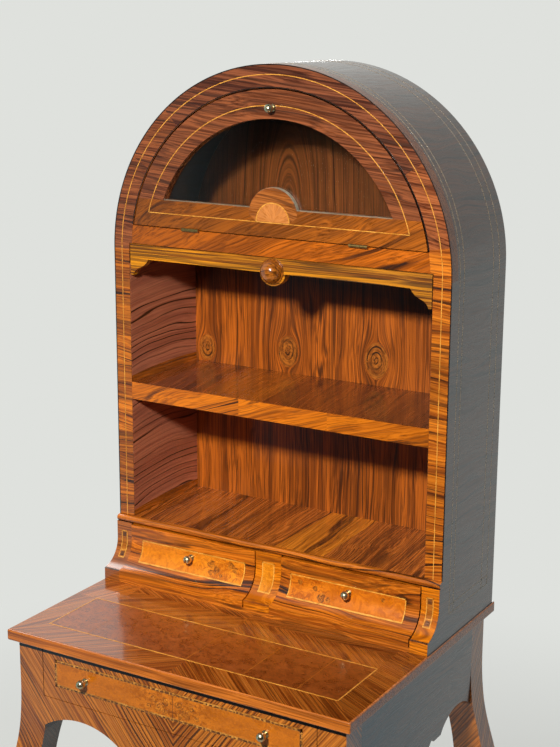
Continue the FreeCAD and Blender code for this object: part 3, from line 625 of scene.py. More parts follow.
# %% Face of the case
STILE_Y, ARCH_Z, CASE_R = 42.5, 1300.0, 290.0
FACE_LOW, STILE_IN, STILE_OUT = 860.5, 261.2, CASE_R - 0.2
RING_IN, DOOR_EDGE = 256.3, 256.2
LINE_R, HALF_LINE = CASE_R - 15.0, 0.6
FOOT = 2.2
RISE = math.tan(math.radians(FOOT))
STILE_JOINTS = [(-1, (1300, 1248, 1201, 1160, 1118, 1086, 1052, 1004, 966, 921, 884, FACE_LOW)),
                (1, (1300, 1282, 1241, 1190, 1148, 1102, 1060, 1021, 975, 930, 893, FACE_LOW))]

# Crossbanding on the stiles: bright orange with near black streaks, each length different
banding = polished_wood("rosewood_stile_crossbanding_polished", "#cf7317", "#964a0f", "#2b1208", streak=2.6,
                        reach=120, band=12, vein=11, vein_dark=1.0, vein_cut=0.5, sway=3.0, tone=0.22)
# The same wood round the arch is redder and darker, and a little lighter toward its feet
ARCH_CUT = dict(**CROSS_CUT, band=13, vein_cut=0.45, sway=4.0, tone=0.1)
arch_band = polished_wood("rosewood_arch_crossbanding_polished", "#8e4e2e", "#4a2214", "#1d0d07", **ARCH_CUT)
arch_foot = polished_wood("rosewood_arch_foot_crossbanding_polished", "#a0582d", "#5e2b13", "#200e07", **ARCH_CUT)
# Lines of boxwood, scraped flush: clear yellow, nearly without grain; black pearwood lines, also used as painted
# shadow
STRINGING = dict(streak=2, reach=20, vein=9, sway=1, tone=0.06, haze=0.22)
boxwood = polished_wood("boxwood_stringing_polished", "#eaa646", "#cd882f", "#85480f", **STRINGING, vein_dark=0.2)
black_stringing_and_shadow_paint = polished_wood("pearwood_black_and_shadow_paint", "#22140c", "#180d07", "#0c0603", **STRINGING, vein_dark=0.3)

FACE_LINES = ((boxwood, LINE_R - HALF_LINE, LINE_R + HALF_LINE), (black_stringing_and_shadow_paint, CASE_R - 1.6, CASE_R - 0.1))
face_work = Glued("case_face_veneer", "desk")
for wood, start, end, tilt in ((arch_foot, 180 - FOOT, 156.4, -2), (arch_foot, 156.4, 150, -3),
                               (arch_foot, 150, 131, -5), (arch_band, 131, 34, -6), (arch_foot, 34, 9.5, -9),
                               (banding, 9.5, FOOT, -2)):
    face_work.leaf(wood, sector(STILE_Y, ARCH_Z, RING_IN, STILE_OUT, start, end), FRONT, run("front", tilt))
for side, wood in ((-1, arch_foot), (1, banding)):
    foot = [(side * STILE_IN, ARCH_Z), (side * STILE_OUT, ARCH_Z), (side * STILE_OUT, ARCH_Z + STILE_OUT * RISE),
            (side * STILE_IN, ARCH_Z + STILE_IN * RISE)]
    face_work.leaf(wood, flat("front", STILE_Y, foot), FRONT, run("front", -2, 17))
for side, joints in STILE_JOINTS:
    for top, bottom in zip(joints, joints[1:]):
        face_work.leaf(banding, oblong("front", STILE_Y, side * STILE_IN, side * STILE_OUT, bottom, top), FRONT,
                       run("front", chance.uniform(-7, 7)))
    for wood, r0, r1 in FACE_LINES:
        strip = oblong("front", STILE_Y, side * r0, side * r1, FACE_LOW, ARCH_Z)
        face_work.leaf(wood, strip, FRONT, run("front", 90), LINE)
for wood, r0, r1 in FACE_LINES:
    face_work.leaf(wood, sector(STILE_Y, ARCH_Z, r0, r1, 180, 0), FRONT, run("front"), LINE)
# A black strip on the ring's inner edge, the painted shadow in the gap round the door
door_gap = sector(STILE_Y, ARCH_Z, DOOR_EDGE, DOOR_EDGE + 1.4, 171, 9)
face_work.leaf(black_stringing_and_shadow_paint, door_gap, FRONT, run("front"), LINE)
face_work.done()

# %% [markdown]
# The door carries one boxwood line that follows its arch and its foot, and half a fan of pale leaves let
# in under the bump of its bottom rail. Each rib of the fan is a leaf of its own with the grain running
# out from the middle, because that change of direction is what makes a fan shimmer.

# %% Lines and fan on the door
DOOR_LINE_R, DOOR_LINE_Z = 231.0, 1361.0
FAN_R, FAN_Z, FAN_RIBS = 28.0, 1362.0, 8
BROW_R, BROW_Z = 41.2, 1371.0

# Satinwood ribs: pale, silky and nearly plain. Over them a brow of rosewood, like the rail
fan = polished_wood("satinwood_fan_leaf_polished", "#cb8040", "#bc7233", "#8a4a20", streak=2.6, reach=14,
                    vein=9, vein_dark=0.25, sway=3, hair=0.25, tone=0.05)
brow_leaf = polished_wood("rosewood_brow_leaf_polished", "#ae6428", "#874818", "#33180a", streak=2.2, reach=90,
                          vein=11, vein_dark=0.8, vein_cut=0.6, sway=5, tone=0.06)


def foot_line(x0, x1):
    return oblong("front", STILE_Y, x0, x1, DOOR_LINE_Z - HALF_LINE, DOOR_LINE_Z + HALF_LINE)


door_work = Glued("door_inlay", "door")
corner = math.degrees(math.asin((DOOR_LINE_Z - ARCH_Z) / DOOR_LINE_R))
door_line = sector(STILE_Y, ARCH_Z, DOOR_LINE_R - HALF_LINE, DOOR_LINE_R + HALF_LINE, 180 - corner, corner)
door_work.leaf(boxwood, door_line, FRONT, run("front"), LINE)
corner_x = DOOR_LINE_R * math.cos(math.radians(corner))
for side in (-1, 1):
    door_work.leaf(boxwood, foot_line(side * FAN_R, side * corner_x), FRONT, run("front"), LINE)
brow = round_rows(spread(math.pi, 0.0, 0.05), (FAN_R, STILE_Y, FAN_Z), (BROW_R, STILE_Y, BROW_Z))
door_work.leaf(brow_leaf, brow, FRONT, run("front", -6))
ribs = spread(0.0, 180.0, 180.0 / FAN_RIBS)
for start, end in zip(ribs, ribs[1:]):
    rib = sector(STILE_Y, FAN_Z, 0.4, FAN_R, start, end, 1.5)
    door_work.leaf(fan, rib, FRONT, run("front", (start + end) / 2))
door_work.leaf(boxwood, sector(STILE_Y, FAN_Z, FAN_R - 0.6, FAN_R + 1.0, 180, 0, 1.5), FRONT, run("front"), LINE)
print("ribs in the fan:", FAN_RIBS)

# %% [markdown]
# The pane sits in putty, a narrow ledge in front of the glass that follows the foot of the
# opening and the bump. Its pale grey is a painted highlight, the thin pale line that the glass's edge
# catches, and it is laid as leaves too.

# %% Putty round the glass
SIGHT_Z, PUTTY_Y, GLASS_Y, PUTTY_R = 1381.5, STILE_Y + 1.0, 50.3, 41.5

# Putty, pale grey as a painted highlight of the glass's edge: chalky and dull
ledge_highlight_painted = polished_wood("glazing_putty_painted_highlight", "#b0a894", "#8f8672", "#5c5444", streak=2.2, reach=5, vein=9,
                      vein_dark=0.2, sway=1, tone=0.1, gloss=0.5, coat=0.0)
for side in (-1, 1):
    ledge = oblong("top", SIGHT_Z, side * 40.4, side * 195.0, PUTTY_Y, GLASS_Y)
    door_work.leaf(ledge_highlight_painted, ledge, TOP, run("top"))
bump_turns = spread(math.radians(165), math.radians(15), 0.06)
bump_ledge = round_rows(bump_turns, (PUTTY_R, PUTTY_Y, BROW_Z), (PUTTY_R, GLASS_Y, BROW_Z))
door_work.leaf(ledge_highlight_painted, bump_ledge, outward(BROW_Z), run("top"))
door_work.leaf(boxwood, foot_line(-FAN_R - 1.0, FAN_R + 1.0), FRONT, run("front"), LINE)
door_work.done()

# %% [markdown]
# Inside, the back board wears tall leaves. The upper ones were cut through three knots, and the grain
# flows round a knot as water flows round a post, so the grain map of those leaves is bent by the
# formula for such a flow. The knot itself is a small disc whose grain runs round it in rings. Behind the
# glass the leaf has a pointed arch of grain, and the vault over it is lined in blue black, a painted shade
# with a painted bluish reflection.

# %% Woods of the back
# Long leaves, polished once and now half dull: fine upright streaks, with painted shade where the slide casts its
# shadow
inner_back = polished_wood("rosewood_back_leaf_polished", "#b45c13", "#743709", "#200d04", streak=2.1, reach=260,
                           band=18, vein=9.0, vein_dark=0.8, sway=4, hair=0.62, tone=0.2, fade=(1.14, 0.96),
                           painted_shadow=(-80, 0, 1214, 1244, 0.36), gloss=0.36)
# Waxed walnut behind the glass: brown and matt, with painted shade where the arch casts its shadow
arch_back = polished_wood("walnut_back_leaf_waxed", "#5d2f0b", "#3d1c05", "#1c0c03", streak=1.9, reach=240,
                          band=12, vein=7, vein_dark=1.0, sway=2, hair=0.55, tone=0.08,
                          painted_shadow=(-45, 1232, 214, 240, 0.3), gloss=0.6, coat=0.0)
wire(arch_back.node_tree.nodes["Principled BSDF"], {"Specular IOR Level": 0.12})
# Knots: close dark rings
knot_wood = polished_wood("rosewood_knot_rings_polished", "#b0641c", "#7c400f", "#1d0c04", streak=2.6, reach=40,
                          band=8, vein=5.5, vein_dark=1.0, vein_cut=0.1, wander=5, sway=1.5, tone=0.05, gloss=0.36)
# Lining drawn blue black as painted shade, tinted as a painted bluish reflection: hardly any grain
lining_painted_shade = polished_wood("vault_lining_painted_shade", "#22363e", "#18272d", "#0b1316", **STAINED,
                            vein_dark=0.4, gloss=0.4, coat=0.2)
print("woods of the back:", inner_back.name, arch_back.name, knot_wood.name, lining_painted_shade.name)

# %% Back board leaves
BACK_Y, BACK_X, INNER_R = 226.5, 260.8, 261.0
LOW_ROOM, UPPER_ROOM = (860.2, 1057.8), (1086.2, 1279.0)
KNOTS = [(-238.0, 1110.0, 15.0), (-80.0, 1122.0, 18.0), (82.0, 1126.0, 20.0)]
TALL = 0.7
DISC_SIDES, VAULT_STEPS = 36, 40


def round_knots(p):
    flow = p.x
    for x, z, r in KNOTS:
        dx, dz = p.x - x, (p.z - z) * TALL
        far = math.hypot(dx, dz)
        if far < r:
            return (p.z * 0.2 + 90000.0, (r - far) * 2.2 + 30000.0 + x * 3)
        flow -= dx * min(1.0, (r / far) ** 2)
    return (p.z + 80000.0, flow + 30000.0)


def pointed_arch(p):
    return (p.z + 60000.0, math.hypot(p.x + 80.0, max(0.0, p.z - 1350.0) * 0.25) + 12000.0)


back_work = Glued("back_board_veneer", "desk")
joints = (-BACK_X, -156, -3, 158, BACK_X)
for x0, x1 in zip(joints, joints[1:]):
    grid = [[Vector((x, BACK_Y, z)) for x in spread(x0, x1, 3.0)] for z in spread(*UPPER_ROOM, 3.0)]
    back_work.leaf(inner_back, grid, FRONT, round_knots)
disc_turns = [2 * math.pi * k / DISC_SIDES for k in range(DISC_SIDES + 1)]
for x, z, r in KNOTS:
    disc = [[Vector((x + q * math.cos(t), BACK_Y, z + q * math.sin(t) / TALL)) for t in disc_turns]
            for q in spread(0.3, r * 1.02, 2.0)]
    back_work.leaf(knot_wood, disc, FRONT, lambda p: (60.0 * math.atan2(p.z - z, p.x - x) + x * 40.0 + 70000.0,
                   math.hypot(p.x - x, (p.z - z) * TALL) * 1.1 + x * 11.0 + 9000.0), SLIP_IN)
joints = (-BACK_X, -130, 1, 132, BACK_X)
for x0, x1 in zip(joints, joints[1:]):
    back_work.leaf(inner_back, oblong("front", BACK_Y, x0, x1, *LOW_ROOM), FRONT, run("front", 90))
vault = []
for z in spread(1326.2, 1556.0, 5.0):
    half = math.sqrt((INNER_R - 0.5) ** 2 - (z - ARCH_Z) ** 2)
    vault.append([Vector((half * k / VAULT_STEPS, BACK_Y, z)) for k in range(-VAULT_STEPS, VAULT_STEPS + 1)])
back_work.leaf(arch_back, vault, FRONT, pointed_arch)
LEAF_BACK = BACK_Y - 0.4
lining = round_rows(spread(0.12, math.pi - 0.12, 0.02), (INNER_R, 73.0, ARCH_Z), (INNER_R, LEAF_BACK, ARCH_Z))
back_work.leaf(lining_painted_shade, lining, outward(ARCH_Z, -1), run("top", 90))
back_work.done()

# %% [markdown]
# The inner sides show long bowed veins that run from front to back, with a strip of pale sapwood along
# the foot. A straight grain would look like a printed sheet, so the map itself is bowed.

# %% Inner sides
LEAF_FRONT = 43.0
# Sliced from one wide leaf: reddish brown with few, long black veins
inner_side = polished_wood("rosewood_inner_side_polished", "#bf7555", "#a05c44", "#1d0a05", streak=5.0, reach=420,
                           band=30, vein=9.5, vein_dark=1.3, vein_cut=0.72, wander=8, sway=4, hair=0.25, tone=0.05,
                           gloss=0.34)
# Shelf and floor: long leaves, dark heartwood and one paler strip of sapwood, polished bright
LONG_LEAF = dict(streak=2.8, reach=340, vein_dark=1.0, gloss=0.24, coat=0.7)
shelf_leaf = polished_wood("rosewood_shelf_leaf_polished", "#974915", "#57250a", "#170803", **LONG_LEAF,
                           band=26, vein=20, vein_cut=0.45, tone=0.12, fade=(0.98, 0.72))
shelf_sap = polished_wood("rosewood_shelf_sap_leaf_polished", "#bf6614", "#8c480b", "#241006", **LONG_LEAF,
                          band=30, vein=24, vein_cut=0.6, tone=0.1, fade=(0.98, 0.72))
floor_leaf = polished_wood("rosewood_floor_leaf_polished", "#c66c24", "#7c3d11", "#1b0a03", **LONG_LEAF,
                           band=28, vein=22, vein_cut=0.5, tone=0.12)
floor_sap = polished_wood("rosewood_floor_sap_leaf_polished", "#ea8922", "#b46413", "#301507", **LONG_LEAF,
                          band=30, vein=26, vein_cut=0.68, tone=0.1)


def bow(y):
    t = (y - LEAF_FRONT) / (BACK_Y - LEAF_FRONT)
    return 6.0 * t + 28.0 * t * (1 - t)


room_work = Glued("inside_veneer", "desk")
depths = spread(LEAF_FRONT, LEAF_BACK, 12.0)
for side, out in ((-1, RIGHT), (1, LEFT)):
    for low, high in ((860.3, 1057.7), (1086.3, 1279.5)):
        grid = [[Vector((side * INNER_R, y, z)) for y in depths] for z in spread(low, high, 40.0)]
        room_work.leaf(inner_side, grid, out, lambda p: (p.y + 51000.0 + p.x * 9, p.z - bow(p.y) + 4200.0))
        sap = [[Vector((side * INNER_R, y, z)) for y in depths] for z in (low, low + 10.0)]
        sap[1] = [p + Vector((0, 0, 0.5 * bow(p.y))) for p in sap[1]]
        room_work.leaf(shelf_sap, sap, out, lambda p: (p.y + 33000.0, p.z + 700.0), SLIP_IN)
print("inner sides laid, deepest bow in mm:", round(max(bow(y) for y in depths), 1))

# %% [markdown]
# The shelf and the floor are laid in leaves of different width, all running front to back and slightly
# askew, and one in each is paler. The joints are given at the front and at the back, because no two
# are parallel on the real piece. The shelf's front edge is flamed wood in three lengths.

# %% Shelf and floor leaves
FLOOR_END, NOSING_Y = 260.7, 42.8
ENDS = ((-FLOOR_END, -FLOOR_END), (FLOOR_END, FLOOR_END))
BOARDS = ((860.0, floor_leaf, floor_sap, 2, (ENDS[0], (-57, -92), (7, 7), (92, 89), (203, 206), ENDS[1])),
          (1086.0, shelf_leaf, shelf_sap, 1, (ENDS[0], (-121, -148), (-20, -36), (53, 40), (115, 117), ENDS[1])))

# Flamed leaves on the shelf's edge: glowing orange tongues, lighter at the left end
flamed = polished_wood("rosewood_flamed_leaf_polished", "#d4730d", "#a9560b", "#3c1908", **FLAME, vein=24,
                       vein_cut=0.84, sway=7, tone=0.08, fade=(1.16, 0.84))
for height, wood, sapwood, pale_at, joints in BOARDS:
    for k, ((a0, a1), (b0, b1)) in enumerate(zip(joints, joints[1:])):
        corners = [(a0, NOSING_Y), (b0, NOSING_Y), (b1, LEAF_BACK), (a1, LEAF_BACK)]
        room_work.leaf(sapwood if k == pale_at else wood, flat("top", height, corners), TOP,
                       run("top", 90 + chance.uniform(3, 10)))
for x0, x1 in ((-INNER_R, -60), (-60, 95), (95, INNER_R)):
    room_work.leaf(flamed, oblong("front", STILE_Y, x0, x1, 1058.2, 1085.9), FRONT,
                   run("front", chance.uniform(16, 26)))
room_work.done()

# %% [markdown]
# The base swells forward in a hollow curve. Panels are let into both small drawers, the post between
# them and the two end blocks, each in a boxwood frame. A flat panel would cut through the curve, so
# leaves and frames are bent over the same hollow as the carcase, a little further out on the drawers.

# %% Panels on the hollow base
COVE_Y, COVE_Z, COVE_R, TOE_Y = -8.99, 822.0, 42.99, -2.5
PANEL_STAND = 0.42

# Boxwood frames: the brightest yellow on the desk
frame_line = polished_wood("boxwood_panel_frame_polished", "#f2b24e", "#dd9634", "#955616", **STRINGING,
                           vein_dark=0.2)


def hollow(x, z, proud):
    r = COVE_R - proud
    deep = min(1.0, max(0.0, (COVE_Z - z) / r))
    return Vector((x, max(COVE_Y + r * math.sqrt(1 - deep * deep), TOE_Y - proud), z))


def off_hollow(p):
    if p.z >= COVE_Z or p.y < TOE_Y + 0.05:
        return FRONT
    return Vector((0, COVE_Y - p.y, COVE_Z - p.z)).normalized()


def bent_sheet(x0, x1, z0, z1, proud=0.0):
    return [[hollow(x0, z, proud), hollow(x1, z, proud)] for z in spread(z0, z1, 2.0)]


def hollow_panel(work, wood, x0, x1, z0, z1, proud=0.0, wide=1.6):
    slip = chance.randrange(1, 60)
    work.leaf(wood, bent_sheet(x0, x1, z0, z1, proud), off_hollow,
              lambda p: (p.x + slip * LOG_ALONG, p.z - 0.4 * p.y + slip * LOG_OVER), PANEL_STAND)
    bottom, top, left, right = four_sides(x0, x1, z0, z1, wide)
    for strip in (left, right, bottom, top):
        work.leaf(frame_line, bent_sheet(*strip, proud), off_hollow, run("front"), LINE)


print("radius of the hollow, mm:", COVE_R)

# %% [markdown]
# The burr on the drawers has a few large buds that the eye remembers. The Voronoi eyes of the burr are
# too even for them, so each large bud is a small leaf of its own, uneven in outline, with grain that
# winds round it. They overlap where buds grew together, so each lies at its own height.

# %% Small drawers and their buds
DRAWER_PROUD, BUD_SIDES = 2.0, 28
BURR_EYES = {
    "small_drawer_left": ((-103, 812, 7.0), (-93, 805, 6.0), (-102, 800, 4.0), (-67, 816, 6.0), (-58, 810, 4.5),
                          (-82, 798, 3.0)),
    "small_drawer_right": ((86, 811, 4.0), (99, 800, 6.5), (110, 799, 4.0), (58, 815, 4.0), (200, 816, 3.0)),
    "frieze_drawer": ((11, 707, 6.5), (24, 697, 7.5), (33, 708, 4.5), (13, 691, 5.0), (42, 695, 4.0)),
}

# Walnut burr, sliced and polished: golden on the left drawer, amber on the right, clouded and softly shiny
DRAWER_BURR = dict(cloud=20, eyes=0.55, flock=0.53, coat=0.3)
golden_burr = burr_wood("walnut_burr_small_panel_polished", "#e58816", "#b55e09", "#552607", **DRAWER_BURR,
                        curl=0.26, calm=(108.0, 150.0))
amber_burr = burr_wood("walnut_burr_amber_panel_polished", "#d4750a", "#a75104", "#552607", **DRAWER_BURR,
                       curl=0.3, calm=(88.0, 130.0))
# Buds: dark rings wound close together
eye_wood = polished_wood("walnut_burr_eye_polished", "#d27c1a", "#96500e", "#3c1806", streak=2.2, reach=9, band=8,
                         vein=3.77, vein_dark=0.9, vein_cut=0.15, wander=5, sway=1.5, tone=0.05, haze=0.25)


def burr_eye(work, place, x, z, r, out):
    """One bud; place says where a point lies on the panel."""
    turns = [2 * math.pi * k / BUD_SIDES for k in range(BUD_SIDES + 1)]
    rows = [[place(x + q * (1 + 0.28 * math.sin(3 * t + x)) * math.cos(t), z + q * math.sin(t)) for t in turns]
            for q in spread(0.4, r, 1.6)]

    def wound(p):
        turn = math.atan2(p.z - z, p.x - x)
        return (9.0 * turn + x * 40.0 + 70000.0, math.hypot(p.x - x, p.z - z) + 1.2 * turn + x * 11.0 + 9000.0)

    work.leaf(eye_wood, rows, out, wound, 0.46 + 0.1 * abs(math.sin(x)))


SMALL_PANELS = ((golden_burr, -238.0, -41.0), (amber_burr, 41.0, 238.0))
for name, (wood, x0, x1) in zip(SMALL_DRAWERS, SMALL_PANELS):
    drawer_work = Glued(name + "_inlay", name)
    hollow_panel(drawer_work, wood, x0, x1, 791.5, 826.0, DRAWER_PROUD)
    for x, z, r in BURR_EYES[name]:
        burr_eye(drawer_work, lambda x, z: hollow(x, z, DRAWER_PROUD), x, z, r, off_hollow)
    drawer_work.done()

# %% [markdown]
# The post and the end blocks are covered with rosewood whose grain runs across them. The post carries a
# burr panel, and each end block a narrow satinwood panel with two dark squares and a cross line.

# %% Post and end blocks
BLOCK_IN, BLOCK_OUT, POST_X = 261.2, 289.8, 22.8
BLOCK_LOW, POST_LOW, BLOCK_HIGH = 760.4, 768.4, 849.8

# End blocks: soft orange leaves with short dark streaks; the left one is browner
BLOCK = dict(streak=2.6, reach=110, band=18, vein_cut=0.6, sway=4, gloss=0.26, haze=0.2)
block_leaf = polished_wood("rosewood_end_block_leaf_polished", "#b46522", "#884614", "#381a0a", **BLOCK, tone=0.08,
                           coat=0.6)
amber_block = polished_wood("rosewood_amber_block_leaf_polished", "#e27f09", "#b35d06", "#4a220a", **BLOCK,
                            vein_dark=0.6, tone=0.06)
block_burr = burr_wood("walnut_burr_end_block_polished", "#e78f17", "#c4710a", "#733808", cloud=18, eyes=0.5,
                       curl=0.25)
# Satinwood: even and silky, with slow broad bands; walnut squares stained dark against it
satin = polished_wood("satinwood_panel_polished", "#c0711f", "#a55c14", "#6d3a0e", streak=4, reach=90, band=40,
                      vein=20, vein_dark=0.3, sway=10, tone=0.06)
dash_wood = polished_wood("walnut_border_dash_stained", "#7d4a22", "#573013", "#2a1408", streak=2, reach=12,
                          vein=6, vein_dark=0.5, sway=1, tone=0.3, haze=0.25)

base_work = Glued("base_inlay", "desk")
for wood, x0, x1, low in ((block_leaf, -BLOCK_OUT, -BLOCK_IN, BLOCK_LOW),
                          (amber_block, -POST_X, POST_X, POST_LOW),
                          (amber_block, BLOCK_IN, BLOCK_OUT, BLOCK_LOW)):
    base_work.leaf(wood, bent_sheet(x0, x1, low, BLOCK_HIGH), off_hollow,
                   lambda p: (p.x + 14000.0, p.z - 0.6 * p.y + 900.0 + x0 * 17.0))
hollow_panel(base_work, block_burr, -11.0, 11.0, 789.0, 834.0)
for x0, x1 in ((-281.0, -269.5), (269.5, 281.0)):
    hollow_panel(base_work, satin, x0, x1, 792.0, 835.0, wide=1.2)
    for low, high in ((794.6, 800.6), (825.0, 833.2)):
        base_work.leaf(dash_wood, bent_sheet(x0 + 2.6, x1 - 2.6, low, high), off_hollow, run("front", 0, 5), 0.5)
    base_work.leaf(frame_line, bent_sheet(x0, x1, 802.4, 803.6), off_hollow, run("front", 0, 6), LINE)
base_work.done()

# %% [markdown]
# The table top is a field of burr in five leaves inside a boxwood line, with bands of striped rosewood
# round it. The bands change direction in the middle of the front and meet in mitres at its corners, so
# each is a four-cornered leaf with its own slant.

# %% Table top
TOP_Z = 760.0
FIELD = (-250.0, 247.0, -192.5, -76.0)
field_l, field_r, field_f, field_b = FIELD
RIM_X, RIM_Y, CASE_FOOT, BEND_Y, TURN_Y = 289.0, -239.0, -2, -134, -34

# Burr under many coats of polish: deep reddish brown, spotted with eyes, mirrors the case softly
table_burr = burr_wood("walnut_burr_table_field_polished", "#944915", "#713209", "#331403", cloud=16, eyes=0.85,
                       flock=0.49, curl=0.62, fade=(1.24, 0.87), coat=0.9, haze=0.14)
# Bands striped every 4.6 mm, the brightest polish on the desk
chevron = polished_wood("rosewood_chevron_band_polished", "#b0621e", "#793609", "#2e1203", streak=2.2, reach=240,
                        band=12, vein=4.6, vein_dark=0.62, vein_cut=0.45, sway=1.2, tone=0.16, fade=(1.2, 0.7),
                        gloss=0.24, coat=1.0)

top_work = Glued("table_top_veneer", "desk")
joints = (field_l, -180.0, -3.0, 94.0, 181.0, field_r)
for a, b in zip(joints, joints[1:]):
    top_work.leaf(table_burr, oblong("top", TOP_Z, a, b, field_f, field_b), TOP, run("top"))
    if b != field_r:
        joint = oblong("top", TOP_Z, b - 0.4, b + 0.4, field_f, field_b)
        top_work.leaf(satin, joint, TOP, run("top", 90), SLIP_IN)
MITRED = (([(-RIM_X, RIM_Y), (0, RIM_Y), (0, field_f), (field_l, field_f)], 42),
          ([(0, RIM_Y), (RIM_X, RIM_Y), (field_r, field_f), (0, field_f)], -41),
          ([(-RIM_X, RIM_Y), (field_l, field_f), (field_l, field_b), (-RIM_X, field_b)], 65),
          ([(field_r, field_f), (RIM_X, RIM_Y), (RIM_X, BEND_Y), (field_r, BEND_Y)], -28),
          ([(field_r, BEND_Y), (RIM_X, BEND_Y), (RIM_X, TURN_Y), (field_r, TURN_Y)], -23))
for corners, tilt in MITRED:
    top_work.leaf(chevron, flat("top", TOP_Z, corners), TOP, run("top", tilt))
for a, b, v0, v1, tilt in ((-RIM_X, -215, field_b, CASE_FOOT, 66), (-215, -3, field_b, -23, 34),
                           (-215, -3, -23, CASE_FOOT, -30), (-3, field_r, field_b, -26, -41),
                           (-3, field_r, -26, CASE_FOOT, 10), (field_r, RIM_X, TURN_Y, CASE_FOOT, -26)):
    top_work.leaf(chevron, oblong("top", TOP_Z, a, b, v0, v1), TOP, run("top", tilt))
for side in (-1, 1):
    strip = oblong("top", TOP_Z, side * RIM_X, side * (RIM_X + 2.0), CASE_FOOT, 240)
    top_work.leaf(side_leaf, strip, TOP, run("top", 90))
for strip in four_sides(*FIELD, 0.9, 0.9):
    top_work.leaf(boxwood, oblong("top", TOP_Z, *strip), TOP, run("top"), LINE)
top_work.done()

# %% [markdown]
# The wide drawer's panel is two leaves opened like a book, calm at the ends and burred where they meet,
# so the right half's map is the left half's turned round, and its large buds come in pairs.

# %% Wide drawer
DRAWER_Y = -228.5
PANEL = (-213.0, 213.0, 681.0, 724.5)
panel_l, panel_r, panel_low, panel_high = PANEL

# Burr that fades into plain golden wood toward the ends
panel_burr = burr_wood("walnut_burr_matched_panel_polished", "#d8790f", "#aa590a", "#3a1b07", cloud=15, eyes=0.95,
                       flock=0.42, calm=(44.0, 95.0))

frieze_work = Glued("frieze_drawer_inlay", "frieze_drawer")
frieze_work.leaf(panel_burr, oblong("front", DRAWER_Y, panel_l, 0.0, panel_low, panel_high), FRONT,
                 lambda p: (41000.0 + p.x, p.z + 8000.0))
frieze_work.leaf(panel_burr, oblong("front", DRAWER_Y, 0.0, panel_r, panel_low, panel_high), FRONT,
                 lambda p: (41000.0 - p.x, p.z + 8000.0))
seam = oblong("front", DRAWER_Y, -0.4, 0.4, panel_low, panel_high)
frieze_work.leaf(dash_wood, seam, FRONT, run("front", 90), SLIP_IN)
for x, z, r in BURR_EYES["frieze_drawer"]:
    for side in (-1, 1):
        burr_eye(frieze_work, lambda x, z: Vector((x, DRAWER_Y, z)), side * x, z, r, FRONT)
print("pairs of buds on the wide drawer:", len(BURR_EYES["frieze_drawer"]))

# %% [markdown]
# A border of dark and light blocks runs round the panel. It was sawn from a glued stick, and its blocks
# have become uneven with age and mending, so their lengths and heights are drawn by chance. Above it a
# black strip along the top of the frieze and over the corner posts is painted shadow, cast by the table top's
# edge.

# %% Dotted border and painted shadow under the top
BORDER = 4.4
BLACK_LOW, BLACK_HIGH = 732.0, 739.8

# Strip of box and walnut: straw yellow ground for the dark blocks
border = polished_wood("box_and_walnut_border_strip", "#cf8f3c", "#a2641f", "#4f2c0e", streak=2.2, reach=6, vein=7,
                       vein_dark=0.5, sway=1, tone=0.05, haze=0.22)
for u0, u1, v0, v1 in four_sides(*PANEL, BORDER):
    frieze_work.leaf(border, oblong("front", DRAWER_Y, u0, u1, v0, v1), FRONT, run("front"), SLIP_IN)
    long = u1 - u0 > v1 - v0
    s, stop, low, high = (u0, u1, v0, v1) if long else (v0, v1, u0, u1)
    while s < stop - 6.0:
        size = chance.uniform(2.0, 7.0)
        block = (s, s + size, low + 0.4, high - chance.uniform(0.4, 2.4))
        block = block if long else block[2:] + block[:2]
        frieze_work.leaf(dash_wood, oblong("front", DRAWER_Y, *block), FRONT, run("front"), LINE)
        s += size + chance.uniform(1.2, 4.2)
# A black strip, the painted shadow of the table top's overhang
black_strip = oblong("front", DRAWER_Y, -234.8, 234.8, BLACK_LOW, BLACK_HIGH)
frieze_work.leaf(black_stringing_and_shadow_paint, black_strip, FRONT, run("front"), LINE)
frieze_work.done()
# The same painted shadow on the corner posts
shade_work = Glued("frieze_painted_overhang_shadow", "desk")
for x0, x1 in ((-279.8, -236.2), (236.2, 279.8)):
    post_strip = oblong("front", DRAWER_Y, x0, x1, BLACK_LOW, BLACK_HIGH + 3.0)
    shade_work.leaf(black_stringing_and_shadow_paint, post_strip, FRONT, run("front"), LINE)
shade_work.done()

# %% [markdown]
# The case's outer sides and its arch carry two thin lines along each edge, which join at the foot. They
# have darkened with the wood round them and were scraped level, so they stand out only a little.

# %% Lines on the sides and the arch
SIDE_LINES, FOOT_LINES = (69.5, 83.5, 188.0, 210.0), (800.0, 814.0)
FLUSH, HALF_SIDE_LINE = 0.12, 1.0

# Boxwood gone grey brown: dull and hardly lighter than the side
dull_line = polished_wood("boxwood_stringing_darkened", "#a08868", "#967c5b", "#705a40", streak=2, reach=60,
                          vein=9, vein_dark=0.1, sway=1, hair=0.12, tone=0.02, gloss=0.45, rub=0.03,
                          coat=0.7, haze=0.3)
side_work = Glued("case_side_lines", "desk")
for side, face, out in ((-1, "left", LEFT), (1, "right", RIGHT)):
    for y in SIDE_LINES:
        line = oblong(face, side * CASE_R, y - HALF_SIDE_LINE, y + HALF_SIDE_LINE, FOOT_LINES[0], ARCH_Z)
        side_work.leaf(dull_line, line, out, run(face, 90), FLUSH)
    for z in FOOT_LINES:
        line = oblong(face, side * CASE_R, SIDE_LINES[0], SIDE_LINES[-1], z - HALF_SIDE_LINE, z + HALF_SIDE_LINE)
        side_work.leaf(dull_line, line, out, run(face), FLUSH)
for y in SIDE_LINES:
    hoop = round_rows(spread(0.0, math.pi, 0.012), (CASE_R, y - HALF_SIDE_LINE, ARCH_Z),
                      (CASE_R, y + HALF_SIDE_LINE, ARCH_Z))
    side_work.leaf(dull_line, hoop, outward(ARCH_Z), run("front"), FLUSH)
side_work.done()

# %% [markdown]
# The desk stands on a plain pale floor. A square plane would show its edge in some views, so the floor
# is a wide disc, with finer rings near the middle where the shadow lies.

